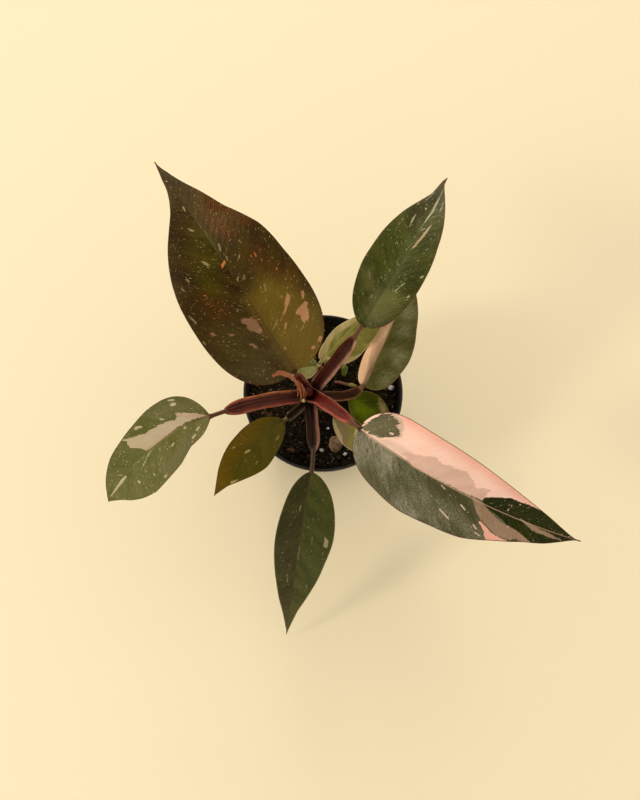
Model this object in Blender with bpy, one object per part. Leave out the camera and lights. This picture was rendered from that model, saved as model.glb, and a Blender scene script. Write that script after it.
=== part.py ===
"""A pink princess philodendron growing in a plastic nursery pot.

Every named size is in millimetres and every angle in degrees. The meshes are in metres.
The origin is the centre of the pot's underside, +Z is up, +X is to the right of the plant as seen from
its front and +Y is towards its back. Headings are measured from +X towards +Y.
"""
import math
from collections import namedtuple

import bmesh
import bpy
import numpy as np
from mathutils import Vector

MM = 0.001
GAP = 0.3                 # left between pieces that touch

# Pot
RIM_DIAMETER = 105.0
RIM_THICKNESS = 1.6
RIM_HEIGHT = 5.5
POT_HEIGHT = 88.0
BASE_DIAMETER = 75.0
WALL = 1.2
FLOOR = 1.6
RIM_STEP = 1.2            # how far the rim stands out from the wall below it
DRAIN_HOLES = 6
DRAIN_DIAMETER = 8.0
DRAIN_CIRCLE = 24.0
POT_SEGMENTS = 48

# Soil
SOIL_TOP = 78.0
SOIL_RIPPLE = 0.8
SOIL_RINGS = 5

# Stem
STEM_FOOT = (-7.0, -5.5)
STEM_HEAD = (-8.6, -5.2)
STEM_RADIUS = 5.6
STEM_HEAD_RADIUS = 4.6
STEM_TOP = 111.0
STEM_BURIED = 9.0
STEM_SIDES = 14
FOOT_INSET = 0.35         # the middle of a petiole's foot comes this much closer, as its wings stand off the stem
STEM_NODES = 5            # swollen leaf scars up the stem
NODE_SWELL = 0.35

# Leaf blades
BLADE_THICKNESS = 0.8
BLADE_ROWS = 13
BLADE_COLUMNS = 8
BLADE_NECK = 1.0          # half-width where the blade meets its petiole
BLADE_TIP = 0.35
CUP = 0.10                # how far the margins curl down, as a share of the half-width

# Petioles
NECK_DIAMETER = 3.4
PETIOLE_SECTIONS = 12
CHANNEL_WALL = 1.3
FOOT_WIDTH = 5.0

# New growth and what lies on the soil
BUD_AZIMUTH = -130
BUD_HEIGHT = 107.0
DRIED_SHEATH = ((-15.2, -5.7, 141), (-16.4, -4.7, 150), (-20, -2.5, 158), (-25.5, -2, 163.5), (-30.5, -4.5, 163))
SPROUT = (14.0, 11.5)
SIDE_SHOOT = (8.0, 8.5)
BARK_NUGGET = (8.3, -33.3)
WHITE_GRAINS = ((3.3, -22.6, 1.0), (-0.7, -37.3, 1.4), (14.5, -39.9, 1.3), (45.5, 4.4, 2.0))
BARK_CHIPS = ((-21.0, -38.0, 3.2), (-8.0, -41.5, 2.6), (-36.0, -14.0, 2.8))

Leaf = namedtuple(
    "Leaf",
    "name base heading bend rise droop arch length left right widest_left widest_right "
    "round belly point roll twist fold_left fold_right colour",
)
Petiole = namedtuple("Petiole", "leaf azimuth height rise width depth neck arrive colour")

DARK_GREEN = (0.030, 0.055, 0.025)
OLIVE = (0.075, 0.080, 0.015)
MID_GREEN = (0.090, 0.140, 0.040)
BRIGHT_GREEN = (0.120, 0.260, 0.020)
PINK = (0.800, 0.420, 0.350)
KHAKI = (0.300, 0.280, 0.110)

# base is where the midrib starts, and left and right are the widest half-blades seen from the base.
LEAVES = (
    Leaf("leaf_big_back_left", (-17, 0, 150), 127.5, -5, 50, 70, 1.0, 160, 37.5, 36,
         0.33, 0.31, 0.42, 2.6, 2.6, -5, -20, 10, 10, OLIVE),
    Leaf("leaf_back_right_high", (23.5, 29, 150), 55, 11, 25, 50, 1.0, 113.5, 21.5, 19,
         0.36, 0.30, 0.55, 2.35, 1.8, -10, 0, 10, 10, DARK_GREEN),
    Leaf("leaf_pink_front_right", (22, -32, 138), -41, 26, 18, 30, 1.0, 151, 24.5, 27.5,
         0.23, 0.32, 0.44, 2.3, 1.35, 18, 0, 10, 10, PINK),
    Leaf("leaf_left", (-70, -23, 128), -160, 35, 0, 55, 1.5, 96, 23, 21.5,
         0.63, 0.23, 0.72, 1.55, 0.95, -4, -12, 10, 10, MID_GREEN),
    Leaf("leaf_olive_front_left", (-25, -20.5, 98), -145, 27, 20, 25, 1.0, 68, 16.5, 12.5,
         0.46, 0.41, 0.70, 1.75, 1.3, -5, 0, 10, 10, OLIVE),
    Leaf("leaf_front", (-7.5, -55, 104), -100, 0, -22, 42, 1.0, 146, 21.5, 16.5,
         0.30, 0.34, 0.54, 1.65, 1.7, -3, -5, 10, 10, DARK_GREEN),
    Leaf("leaf_right_low", (25, -0.5, 112), 59, 17, 20, 30, 1.0, 82, 19, 19,
         0.34, 0.34, 0.36, 1.7, 1.0, -2, -4, -55, 0, DARK_GREEN),
    Leaf("leaf_light_back", (-1, 19, 96), 50, -8, 5, 16, 1.0, 54, 14, 16,
         0.36, 0.38, 0.55, 1.8, 1.2, 4, 0, 8, 4, MID_GREEN),
    Leaf("leaf_light_small", (-3.5, 15, 99), 184, 16, 6, 30, 1.0, 27, 8, 8,
         0.40, 0.40, 0.55, 1.8, 1.2, 0, 0, 8, 8, MID_GREEN),
    Leaf("leaf_young_bright", (17.5, -4.5, 97), -28, -14, 12, 30, 1.0, 40, 13, 11.5,
         0.45, 0.42, 0.60, 1.8, 1.1, 6, 0, 6, 6, BRIGHT_GREEN),
    Leaf("leaf_young_cream", (7.5, -17, 96), -62, 10, 6, 34, 1.0, 33, 10, 8.5,
         0.50, 0.50, 0.60, 1.8, 1.0, -4, 0, 10, 10, KHAKI),
)

RED_BROWN = (0.200, 0.040, 0.030)
PINK_RED = (0.420, 0.080, 0.070)
BROWN = (0.180, 0.080, 0.050)
GREEN_BROWN = (0.160, 0.130, 0.050)

# azimuth and height are where the petiole leaves the stem, rise is its slope there, and neck is the
# share of it between the end of the winged sheath and the blade.
PETIOLES = (
    Petiole("leaf_big_back_left", 128, 104.5, 76, 7.0, 3.2, 0.12, 0.15, RED_BROWN),
    Petiole("leaf_back_right_high", 51, 104.5, 42, 9.0, 4.2, 0.17, 0.40, RED_BROWN),
    Petiole("leaf_pink_front_right", -37, 106.5, 50, 8.6, 4.0, 0.17, 0.40, PINK_RED),
    Petiole("leaf_left", -170, 104.5, 28, 9.6, 4.4, 0.13, 0.40, RED_BROWN),
    Petiole("leaf_front", -89, 100.0, 22, 8.2, 4.0, 0.24, 0.45, RED_BROWN),
    Petiole("leaf_right_low", 4, 96.5, 34, 6.6, 3.6, 0.06, 0.35, BROWN),
    Petiole("leaf_olive_front_left", -140, 93.0, 20, 5.4, 3.0, 0.10, 0.35, GREEN_BROWN),
    Petiole("leaf_light_back", 73, 88.5, 38, 4.2, 2.6, 0.10, 0.35, GREEN_BROWN),
    Petiole("leaf_light_small", 96, 94.5, 22, 3.2, 2.2, 0.10, 0.35, GREEN_BROWN),
    Petiole("leaf_young_bright", -8, 89.0, 28, 4.0, 2.6, 0.10, 0.35, GREEN_BROWN),
    Petiole("leaf_young_cream", -50, 87.5, 30, 3.8, 2.4, 0.10, 0.35, GREEN_BROWN),
)


def clear_scene():
    for item in list(bpy.data.objects):
        bpy.data.objects.remove(item, do_unlink=True)


def material(name, colour, roughness, metallic=0.0):
    made = bpy.data.materials.new(name)
    made.use_nodes = True
    shader = made.node_tree.nodes["Principled BSDF"]
    shader.inputs["Base Color"].default_value = (*colour, 1)
    shader.inputs["Roughness"].default_value = roughness
    shader.inputs["Metallic"].default_value = metallic
    return made


def mesh_object(name, points, faces, colour, roughness):
    """A piece from points in millimetres. Its faces are turned to point out."""
    mesh = bpy.data.meshes.new(name)
    mesh.from_pydata([tuple(float(c) * MM for c in p) for p in points], [], faces)
    piece = bpy.data.objects.new(name, mesh)
    bpy.context.collection.objects.link(piece)
    shape = bmesh.new()
    shape.from_mesh(mesh)
    bmesh.ops.recalc_face_normals(shape, faces=shape.faces)
    if shape.calc_volume(signed=True) < 0:
        bmesh.ops.reverse_faces(shape, faces=shape.faces)
    bmesh.ops.triangulate(shape, faces=[f for f in shape.faces if len(f.verts) == 4])
    shape.to_mesh(mesh)
    shape.free()
    mesh.shade_smooth()
    mesh.set_sharp_from_angle(angle=math.radians(35))
    mesh.materials.append(material(name, colour, roughness))
    return piece


def cutter(name, points, faces):
    """A solid that only cuts others."""
    tool = mesh_object(name, points, faces, (0.5, 0.5, 0.5), 0.5)
    tool.hide_render = True
    tool.display_type = "WIRE"
    return tool


def cut(piece, tool):
    step = piece.modifiers.new("cut " + tool.name, "BOOLEAN")
    step.operation = "DIFFERENCE"
    step.solver = "EXACT"
    step.object = tool


def turned(profile, sides, centre=(0.0, 0.0), wobble=None):
    """Points and faces of a profile of (radius, height) turned about Z. A radius of 0 closes an end."""
    points = []
    rings = []
    for radius, height in profile:
        if radius == 0:
            rings.append([len(points)])
            lift = wobble(*centre) if wobble and height >= SOIL_TOP else 0
            points.append((centre[0], centre[1], height + lift))
            continue
        ring = []
        for k in range(sides):
            turn = 2 * math.pi * k / sides
            x = centre[0] + radius * math.cos(turn)
            y = centre[1] + radius * math.sin(turn)
            lift = wobble(x, y) if wobble and height >= SOIL_TOP else 0
            ring.append(len(points))
            points.append((x, y, height + lift))
        rings.append(ring)
    faces = []
    for low, high in zip(rings, rings[1:]):
        for k in range(sides):
            n = (k + 1) % sides
            if len(low) == 1:
                faces.append((low[0], high[n], high[k]))
            elif len(high) == 1:
                faces.append((low[k], low[n], high[0]))
            else:
                faces.append((low[k], low[n], high[n], high[k]))
    return points, faces


def wall_radius(height):
    """The pot's outer radius below its rim."""
    under_rim = RIM_DIAMETER / 2 - RIM_STEP
    share = height / (POT_HEIGHT - RIM_HEIGHT)
    return BASE_DIAMETER / 2 + (under_rim - BASE_DIAMETER / 2) * share


def make_pot():
    rim = RIM_DIAMETER / 2
    shoulder = POT_HEIGHT - RIM_HEIGHT
    inner_shoulder = wall_radius(shoulder) - WALL
    profile = [
        (0, 0),
        (wall_radius(0) - 1, 0),
        (wall_radius(0), 1),
        (wall_radius(shoulder), shoulder),
        (rim, shoulder + RIM_STEP),
        (rim, POT_HEIGHT - 0.6),
        (rim - 0.5, POT_HEIGHT),
        (rim - RIM_THICKNESS + 0.4, POT_HEIGHT),
        (rim - RIM_THICKNESS, POT_HEIGHT - 0.6),
        (inner_shoulder, shoulder),
        (wall_radius(FLOOR) - WALL, FLOOR),
        (0, FLOOR),
    ]
    pot = mesh_object("pot", *turned(profile, POT_SEGMENTS), (0.012, 0.012, 0.013), 0.45)
    points = []
    faces = []
    for k in range(DRAIN_HOLES):
        turn = 2 * math.pi * (k + 0.5) / DRAIN_HOLES
        centre = (DRAIN_CIRCLE * math.cos(turn), DRAIN_CIRCLE * math.sin(turn))
        radius = DRAIN_DIAMETER / 2
        drill = [(0, -1), (radius, -1), (radius, FLOOR + 1), (0, FLOOR + 1)]
        more, sides = turned(drill, 12, centre)
        faces += [tuple(i + len(points) for i in face) for face in sides]
        points += more
    cut(pot, cutter("drain_drill", points, faces))


def soil_wave(x, y):
    """How far the soil's surface is above SOIL_TOP at a place."""
    slow = math.sin(x / 13 + 0.6) * math.cos(y / 11 - 0.4)
    quick = 0.4 * math.sin(x / 5.1 - y / 6.3)
    return SOIL_RIPPLE * (slow + quick)


def make_soil():
    edge = wall_radius(SOIL_TOP) - WALL - GAP
    top = [(edge * k / SOIL_RINGS, SOIL_TOP) for k in range(SOIL_RINGS, -1, -1)]
    bottom = FLOOR + GAP
    profile = [(0, bottom), (wall_radius(bottom) - WALL - GAP - 0.1, bottom)] + top
    soil = mesh_object("soil", *turned(profile, POT_SEGMENTS, wobble=soil_wave), (0.020, 0.016, 0.012), 0.95)
    floor_of_hole = SOIL_TOP - STEM_BURIED - GAP
    width = STEM_RADIUS + GAP + 0.3
    drill = [(0, floor_of_hole), (width, floor_of_hole), (width, SOIL_TOP + 6), (0, SOIL_TOP + 6)]
    cut(soil, cutter("stem_drill", *turned(drill, STEM_SIDES * 2, STEM_FOOT)))


def stem_radius(height):
    share = (height - SOIL_TOP) / (STEM_TOP - SOIL_TOP)
    share = min(max(share, 0), 1)
    swell = NODE_SWELL * math.cos(2 * math.pi * share * STEM_NODES)
    return STEM_RADIUS + (STEM_HEAD_RADIUS - STEM_RADIUS) * share + swell - NODE_SWELL


def stem_axis(height):
    share = min(max((height - SOIL_TOP) / (STEM_TOP - SOIL_TOP), 0), 1)
    return tuple(a + (b - a) * share for a, b in zip(STEM_FOOT, STEM_HEAD))


def make_stem():
    low = SOIL_TOP - STEM_BURIED
    heights = [low + (STEM_TOP - low) * k / 22 for k in range(23)]
    points = []
    for height in heights:
        axis = stem_axis(height)
        for k in range(STEM_SIDES):
            turn = 2 * math.pi * k / STEM_SIDES
            reach = stem_radius(height)
            points.append((axis[0] + reach * math.cos(turn), axis[1] + reach * math.sin(turn), height))
    faces = [tuple(range(STEM_SIDES))]
    for row in range(len(heights) - 1):
        for k in range(STEM_SIDES):
            n = (k + 1) % STEM_SIDES
            a = row * STEM_SIDES
            faces.append((a + k, a + n, a + n + STEM_SIDES, a + k + STEM_SIDES))
    faces.append(tuple(range(len(points) - STEM_SIDES, len(points))))
    mesh_object("stem", points, faces, (0.100, 0.110, 0.050), 0.6)


def unit(vector):
    return vector / np.linalg.norm(vector, axis=-1, keepdims=True)


def direction(heading, pitch):
    h = np.radians(heading)
    p = np.radians(pitch)
    return np.stack([np.cos(p) * np.cos(h), np.cos(p) * np.sin(h), np.sin(p)], axis=-1)


def midrib(leaf, shares):
    """Places along the midrib, with its direction, the way to the blade's left and the way up."""
    fine = np.linspace(0, 1, 201)
    heading = leaf.heading + leaf.bend * fine
    ahead = direction(heading, leaf.rise - leaf.droop * fine ** leaf.arch)
    steps = (ahead[1:] + ahead[:-1]) / 2 * leaf.length / 200
    path = np.concatenate([np.zeros((1, 3)), np.cumsum(steps, axis=0)]) + np.array(leaf.base)
    place = np.stack([np.interp(shares, fine, path[:, k]) for k in range(3)], axis=-1)
    along = unit(np.stack([np.interp(shares, fine, ahead[:, k]) for k in range(3)], axis=-1))
    turn = np.radians(leaf.heading + leaf.bend * shares)
    left = np.stack([-np.sin(turn), np.cos(turn), 0 * turn], axis=-1)
    up = np.cross(along, left)
    roll = np.radians(leaf.roll + leaf.twist * shares)[:, None]
    return place, along, left * np.cos(roll) + up * np.sin(roll), up * np.cos(roll) - left * np.sin(roll)


def half_width(leaf, shares, side):
    """The half-blade's width: rounded up to its widest place, then drawn out to the tip."""
    wide, widest = (leaf.left, leaf.widest_left) if side > 0 else (leaf.right, leaf.widest_right)
    near = 1 - np.clip((widest - shares) / widest, 0, 1) ** 2
    far = 1 - np.clip((shares - widest) / (1 - widest), 0, 1) ** leaf.belly
    width = wide * np.where(shares < widest, near ** leaf.round, far ** leaf.point)
    least = BLADE_NECK + (BLADE_TIP - BLADE_NECK) * shares
    return np.maximum(width, least)


def blade_surface(leaf, shares, across):
    """Places on the blade's upper face: rows along the midrib, columns from -1, right, to 1, left."""
    place, along, left, up = midrib(leaf, shares)
    rows = []
    for q in across:
        side = 1 if q >= 0 else -1
        reach = abs(q) * half_width(leaf, shares, side)
        fold = math.radians(leaf.fold_left if side > 0 else leaf.fold_right)
        sag = CUP * reach ** 2 / max(leaf.left, leaf.right)
        sideways = (side * reach * math.cos(fold))[:, None]
        upwards = (reach * math.sin(fold) - sag)[:, None]
        rows.append(place + left * sideways + up * upwards)
    return np.stack(rows, axis=1)


def make_blade(leaf):
    shares = np.linspace(0, 1, BLADE_ROWS + 1) ** 1.15
    top = blade_surface(leaf, shares, np.linspace(-1, 1, BLADE_COLUMNS + 1))
    normal = unit(np.cross(np.gradient(top, axis=0), np.gradient(top, axis=1)))
    bottom = top - normal * BLADE_THICKNESS
    rows, columns = top.shape[:2]
    count = rows * columns
    points = np.concatenate([top.reshape(-1, 3), bottom.reshape(-1, 3)])
    faces = []
    for i in range(rows - 1):
        for j in range(columns - 1):
            a = i * columns + j
            face = (a, a + 1, a + columns + 1, a + columns)
            faces.append(face)
            faces.append(tuple(count + k for k in reversed(face)))
    rim = list(range(columns))
    rim += [i * columns + columns - 1 for i in range(1, rows)]
    rim += [(rows - 1) * columns + j for j in range(columns - 2, -1, -1)]
    rim += [i * columns for i in range(rows - 2, 0, -1)]
    for a, b in zip(rim, rim[1:] + rim[:1]):
        faces.append((b, a, a + count, b + count))
    mesh_object(leaf.name, points, faces, leaf.colour, 0.4)


def bezier(ends, shares):
    """A cubic through its first and last point, with its direction at each share."""
    a, b, c, d = (np.array(p, float) for p in ends)
    t = shares[:, None]
    path = a * (1 - t) ** 3 + 3 * b * t * (1 - t) ** 2 + 3 * c * t ** 2 * (1 - t) + d * t ** 3
    slope = 3 * (b - a) * (1 - t) ** 2 + 6 * (c - b) * t * (1 - t) + 3 * (d - c) * t ** 2
    return path, unit(slope)


def petiole_path(petiole, leaf, shares):
    """From the stem's side to the blade's base, arriving nearly in line with the midrib."""
    axis = stem_axis(petiole.height)
    out = direction(petiole.azimuth, 0.0)
    start = np.array([*axis, petiole.height]) + out * (stem_radius(petiole.height) + GAP - FOOT_INSET)
    first = direction(petiole.azimuth, petiole.rise)
    last = direction(leaf.heading, leaf.rise)
    end = np.array(leaf.base, float) - last * GAP
    far = np.linalg.norm(end - start)
    return bezier((start, start + first * far * 0.35, end - last * far * petiole.arrive, end), shares)


def channel_section(width, depth, wall, closed):
    """Points round a winged gutter, open at the top, or round a closed stalk as closed goes to 1."""
    outer = [(math.cos(a), math.sin(a)) for a in np.linspace(math.pi, 2 * math.pi, 7)]
    ring = [(x * width / 2, y * depth) for x, y in outer]
    inner_low = -(depth - wall)
    inner = inner_low + (depth * 0.9 - inner_low) * closed
    inside = width / 2 - wall * 0.55 * (1 - closed)
    for x, y in reversed(outer[1:-1]):
        ring.append((x * inside, -y * inner))
    return ring


def make_petiole(petiole):
    leaf = next(item for item in LEAVES if item.name == petiole.leaf)
    shares = np.linspace(0, 1, PETIOLE_SECTIONS + 1)
    path, along = petiole_path(petiole, leaf, shares)
    sheath_end = 1 - petiole.neck
    points = []
    for share, place, ahead in zip(shares, path, along):
        side = unit(np.cross(np.array([0, 0, 1.0]), ahead))
        up = np.cross(ahead, side)
        spread = min(share / 0.22, 1)
        width = FOOT_WIDTH + (petiole.width - FOOT_WIDTH) * spread * (2 - spread)
        width = min(width, petiole.width)
        shut = min(max((share - sheath_end + 0.10) / 0.12, 0), 1)
        width += (NECK_DIAMETER - width) * shut
        depth = petiole.depth + (NECK_DIAMETER / 2 - petiole.depth) * shut
        wall = min(CHANNEL_WALL, depth * 0.45)
        for x, y in channel_section(width, depth, wall, shut):
            points.append(place + side * x + up * y)
    ring = len(points) // len(shares)
    faces = [tuple(range(ring)), tuple(range(len(points) - ring, len(points)))]
    for row in range(len(shares) - 1):
        for k in range(ring):
            n = (k + 1) % ring
            a = row * ring
            faces.append((a + k, a + n, a + n + ring, a + k + ring))
    name = petiole.leaf.replace("leaf", "petiole")
    piece = mesh_object(name, points, faces, petiole.colour, 0.35)
    close_ends(piece)


def close_ends(piece):
    """Triangulates the end caps, which are gutter shaped."""
    shape = bmesh.new()
    shape.from_mesh(piece.data)
    bmesh.ops.triangulate(shape, faces=[f for f in shape.faces if len(f.verts) > 4], ngon_method="BEAUTY")
    shape.to_mesh(piece.data)
    shape.free()


def tube(name, path, radii, colour, sides=8, squash=1.0):
    """A closed stalk along a path with a radius at each point, flattened by squash."""
    path = np.array(path, float)
    along = unit(np.gradient(path, axis=0))
    points = []
    for place, ahead, radius in zip(path, along, radii):
        level = np.array([0, 0, 1.0]) if abs(ahead[2]) < 0.9 else np.array([0, 1.0, 0])
        side = unit(np.cross(level, ahead))
        up = np.cross(ahead, side)
        for k in range(sides):
            turn = 2 * math.pi * k / sides
            out = side * math.cos(turn) + up * math.sin(turn) * squash
            points.append(place + out * radius)
    faces = [tuple(range(sides)), tuple(range(len(points) - sides, len(points)))]
    for row in range(len(path) - 1):
        for k in range(sides):
            n = (k + 1) % sides
            a = row * sides
            faces.append((a + k, a + n, a + n + sides, a + k + sides))
    return mesh_object(name, points, faces, colour, 0.5)


def lump(name, place, radii, colour, seed):
    """A rough grain, resting on the soil."""
    x, y = place
    shape = bmesh.new()
    bmesh.ops.create_icosphere(shape, subdivisions=1, radius=1)
    for k, vertex in enumerate(shape.verts):
        swell = 1 + 0.14 * math.sin(seed + 2.4 * k)
        vertex.co = Vector(c * r * swell for c, r in zip(vertex.co, radii))
    low = min(vertex.co.z for vertex in shape.verts)
    under = [soil_wave(x + v.co.x, y + v.co.y) for v in shape.verts if v.co.z < low * 0.4]
    base = SOIL_TOP + max(under) + GAP - low
    points = [(x + v.co.x, y + v.co.y, base + v.co.z) for v in shape.verts]
    faces = [tuple(v.index for v in f.verts) for f in shape.faces]
    shape.free()
    return mesh_object(name, points, faces, colour, 0.8)


def make_new_growth():
    """The rolled new leaf at the top of the stem, the bud beside it and the dried sheath above them."""
    x, y = STEM_HEAD
    top = STEM_TOP + GAP
    roll = [(x, y, top), (x, y - 0.4, top + 5), (x - 0.4, y - 0.8, top + 11), (x - 1.2, y - 1.2, top + 18)]
    tube("new_leaf_roll", roll, (2.9, 3.1, 2.2, 0.5), (0.450, 0.030, 0.040), sides=10)
    out = direction(BUD_AZIMUTH, 0.0)
    foot = np.array([x, y, BUD_HEIGHT]) + out * (stem_radius(BUD_HEIGHT) + GAP + 0.9)
    bud = [foot + out * far + (0, 0, up) for far, up in ((0, 0), (0.5, 2.0), (0.8, 4.2), (0.8, 5.8))]
    tube("bud", bud, (0.7, 1.1, 0.9, 0.3), (0.550, 0.420, 0.220))
    tube("dried_sheath", DRIED_SHEATH, (1.2, 1.8, 2.0, 1.9, 0.9), (0.450, 0.170, 0.080), squash=0.25)


def make_side_shoots():
    """A seedling leaf and a creeping side shoot with its own bud, both on the soil."""
    x, y = SPROUT
    ground = SOIL_TOP + soil_wave(x, y) + GAP
    steps = ((0, 0, 0), (0, 2.0, 2.6), (0.3, 5.5, 4.2), (0.5, 9, 4))
    sprout = [(x + a, y + b, ground + c) for a, b, c in steps]
    tube("sprout", sprout, (0.6, 1.6, 2.4, 0.4), BRIGHT_GREEN, squash=0.3)
    x, y = SIDE_SHOOT
    ground = SOIL_TOP + soil_wave(x, y) + GAP + 1.0
    steps = ((0, 0, 0), (3, -0.6, 1.2), (6, -1.6, 1.6), (9, -2.2, 2.0))
    shoot = [(x + a, y + b, ground + c) for a, b, c in steps]
    tube("side_shoot", shoot, (0.9, 1.1, 1.0, 0.9), (0.400, 0.150, 0.050))
    tip = np.array(shoot[-1])
    ahead = unit(tip - np.array(shoot[-2]))
    bud = [tip + ahead * (GAP + k) + (0, 0, 0.1 * k) for k in (0, 1.6, 3.4, 5.2)]
    tube("side_shoot_bud", bud, (0.8, 1.5, 1.3, 0.3), (0.420, 0.380, 0.080))


def make_soil_pieces():
    """The largest grains and bark pieces that lie on the soil."""
    lump("bark_nugget", BARK_NUGGET, (4.4, 5.3, 3.2), (0.200, 0.120, 0.080), 1)
    for k, (x, y, size) in enumerate(WHITE_GRAINS, 1):
        lump("perlite_%d" % k, (x, y), (size, size * 0.85, size * 0.8), (0.750, 0.740, 0.680), 2 + k)
    for k, (x, y, size) in enumerate(BARK_CHIPS, 1):
        lump("bark_chip_%d" % k, (x, y), (size, size * 0.5, size * 0.35), (0.120, 0.080, 0.050), 7 + k)


def main():
    clear_scene()
    make_pot()
    make_soil()
    make_stem()
    for leaf in LEAVES:
        make_blade(leaf)
    for petiole in PETIOLES:
        make_petiole(petiole)
    make_new_growth()
    make_side_shoots()
    make_soil_pieces()


main()
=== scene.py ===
"""Looks of a pink princess philodendron in its nursery pot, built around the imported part.

Sizes are in millimetres and turned into metres where a mesh is made. Headings are measured from +X
towards +Y. Places in the photograph are in its own pixels, 640 wide and 800 high. A colour of three
numbers is as a screen shows it, 0 to 255.
"""
import math
from collections import namedtuple

import bmesh
import bpy
import numpy as np
from mathutils import Matrix, Vector, noise


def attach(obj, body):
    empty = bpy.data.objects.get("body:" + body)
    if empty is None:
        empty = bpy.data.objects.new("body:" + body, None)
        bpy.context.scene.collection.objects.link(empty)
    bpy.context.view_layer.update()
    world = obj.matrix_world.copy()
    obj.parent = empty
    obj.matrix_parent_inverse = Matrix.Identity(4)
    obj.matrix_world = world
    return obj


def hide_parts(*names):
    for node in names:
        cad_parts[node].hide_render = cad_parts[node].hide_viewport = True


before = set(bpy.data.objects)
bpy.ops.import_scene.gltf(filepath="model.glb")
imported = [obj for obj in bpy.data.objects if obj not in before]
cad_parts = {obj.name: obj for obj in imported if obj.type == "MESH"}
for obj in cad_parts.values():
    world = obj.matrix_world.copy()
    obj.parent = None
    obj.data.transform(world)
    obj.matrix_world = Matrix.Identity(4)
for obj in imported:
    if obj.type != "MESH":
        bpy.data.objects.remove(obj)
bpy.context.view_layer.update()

MM = 0.001
GRID = 0.8                # spacing of the points on a blade
DRAW = np.random.default_rng(7)

# The photograph's camera
IMAGE_WIDTH = 640
IMAGE_HEIGHT = 800
FOCAL_PX = 1150.0
CAMERA_TILT = 10.5        # degrees off straight down, leaning to look from the front
CAMERA_PLACE = (-2.0, -143.1, 831.4)
SENSOR = 36.0
PIXEL_ON_LEAF = 0.65      # what one pixel covers at the height of the leaves

# Pot and soil
RIM_DIAMETER = 105.0
POT_HEIGHT = 88.0
RIM_HEIGHT = 5.5
BASE_DIAMETER = 75.0
WALL = 1.2
RIM_STEP = 1.2
FLOOR = 1.6
POT_SIDES = 160
LIP = 0.85                # radius of the rolled lip
DRAIN_HOLES = 6
DRAIN_DIAMETER = 8.0
DRAIN_CIRCLE = 24.0       # how far the holes' centres are from the pot's
SOIL_TOP = 78.0
SOIL_RIPPLE = 0.8
SOIL_LIFT = 0.5           # how far the crumbs raise the drawn surface above the CAD's
SOIL_GAP = 0.1            # between the soil and the wall at the top
SOIL_FOOT = (0.4, 0.3)    # how far its lowest edge is from the wall and from the pot's floor
GRAIN_INSET = 1.4         # how near the wall a loose grain may lie
GRAIN_LIFT = 0.25         # how far its middle is above the surface, as a share of its length
SOIL_RINGS = 110
SOIL_SIDES = 300

# Stem
STEM_FOOT = (-7.0, -5.5)
STEM_HEAD = (-8.6, -5.2)
STEM_RADIUS = 5.6
STEM_HEAD_RADIUS = 4.6
STEM_TOP = 111.0
STEM_HIDDEN = 8           # how far the drawn stem reaches into the soil, and stops below its sheathed top
SCAR = 0.35               # how far a leaf scar stands out

PAPER = 0.3               # the dried sheath's thickness
PAPER_COLUMNS = 14        # and its points from side to side

# Blades
BLADE_THICKNESS = 0.45
BLADE_SINK = 0.12         # how far the upper face lies below the plain curve
BLADE_NECK = 1.0          # least half-width at the base
BLADE_TIP = 0.35          # least half-width at the tip
CUP = 0.10                # how far the margins sag below the plain curve, as a share of the half-width
GROOVE_DEPTH = 0.55       # the midrib's groove above, where it leaves the base
RIB_HEIGHT = 1.25         # and its rib below
PUCKER = 0.09             # between the side veins
FRILL = 0.0115            # the margin's waves, as a share of the half-width
VEIN_SPACING = 5.2
VEIN_SLANT = 0.95         # how far towards the tip a side vein runs for each millimetre across
CREASE = 6.0              # how far from the midrib the two halves still curve into each other

# Petioles
PETIOLE_ROWS = 80
PETIOLE_PULL = 0.35       # how long it holds its first direction, as a share of its length
PETIOLE_END = 0.6         # how far it reaches under the blade
RING_HALF = 19            # points across a petiole's outer side, and again across its channel
WING_EDGE = 0.4           # the wings' thickness
WING_FLARE = 0.4          # how far their edges turn up
NECK_DIAMETER = 3.4
FOOT_INSET = 2.8          # how far a foot reaches into the stem, where the real ones grow together
FOOT_SHARE = 0.8          # a foot's width and depth as a share of the petiole's
TAPER = 0.25              # the share of a petiole over which its sheath narrows into the neck

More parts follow.
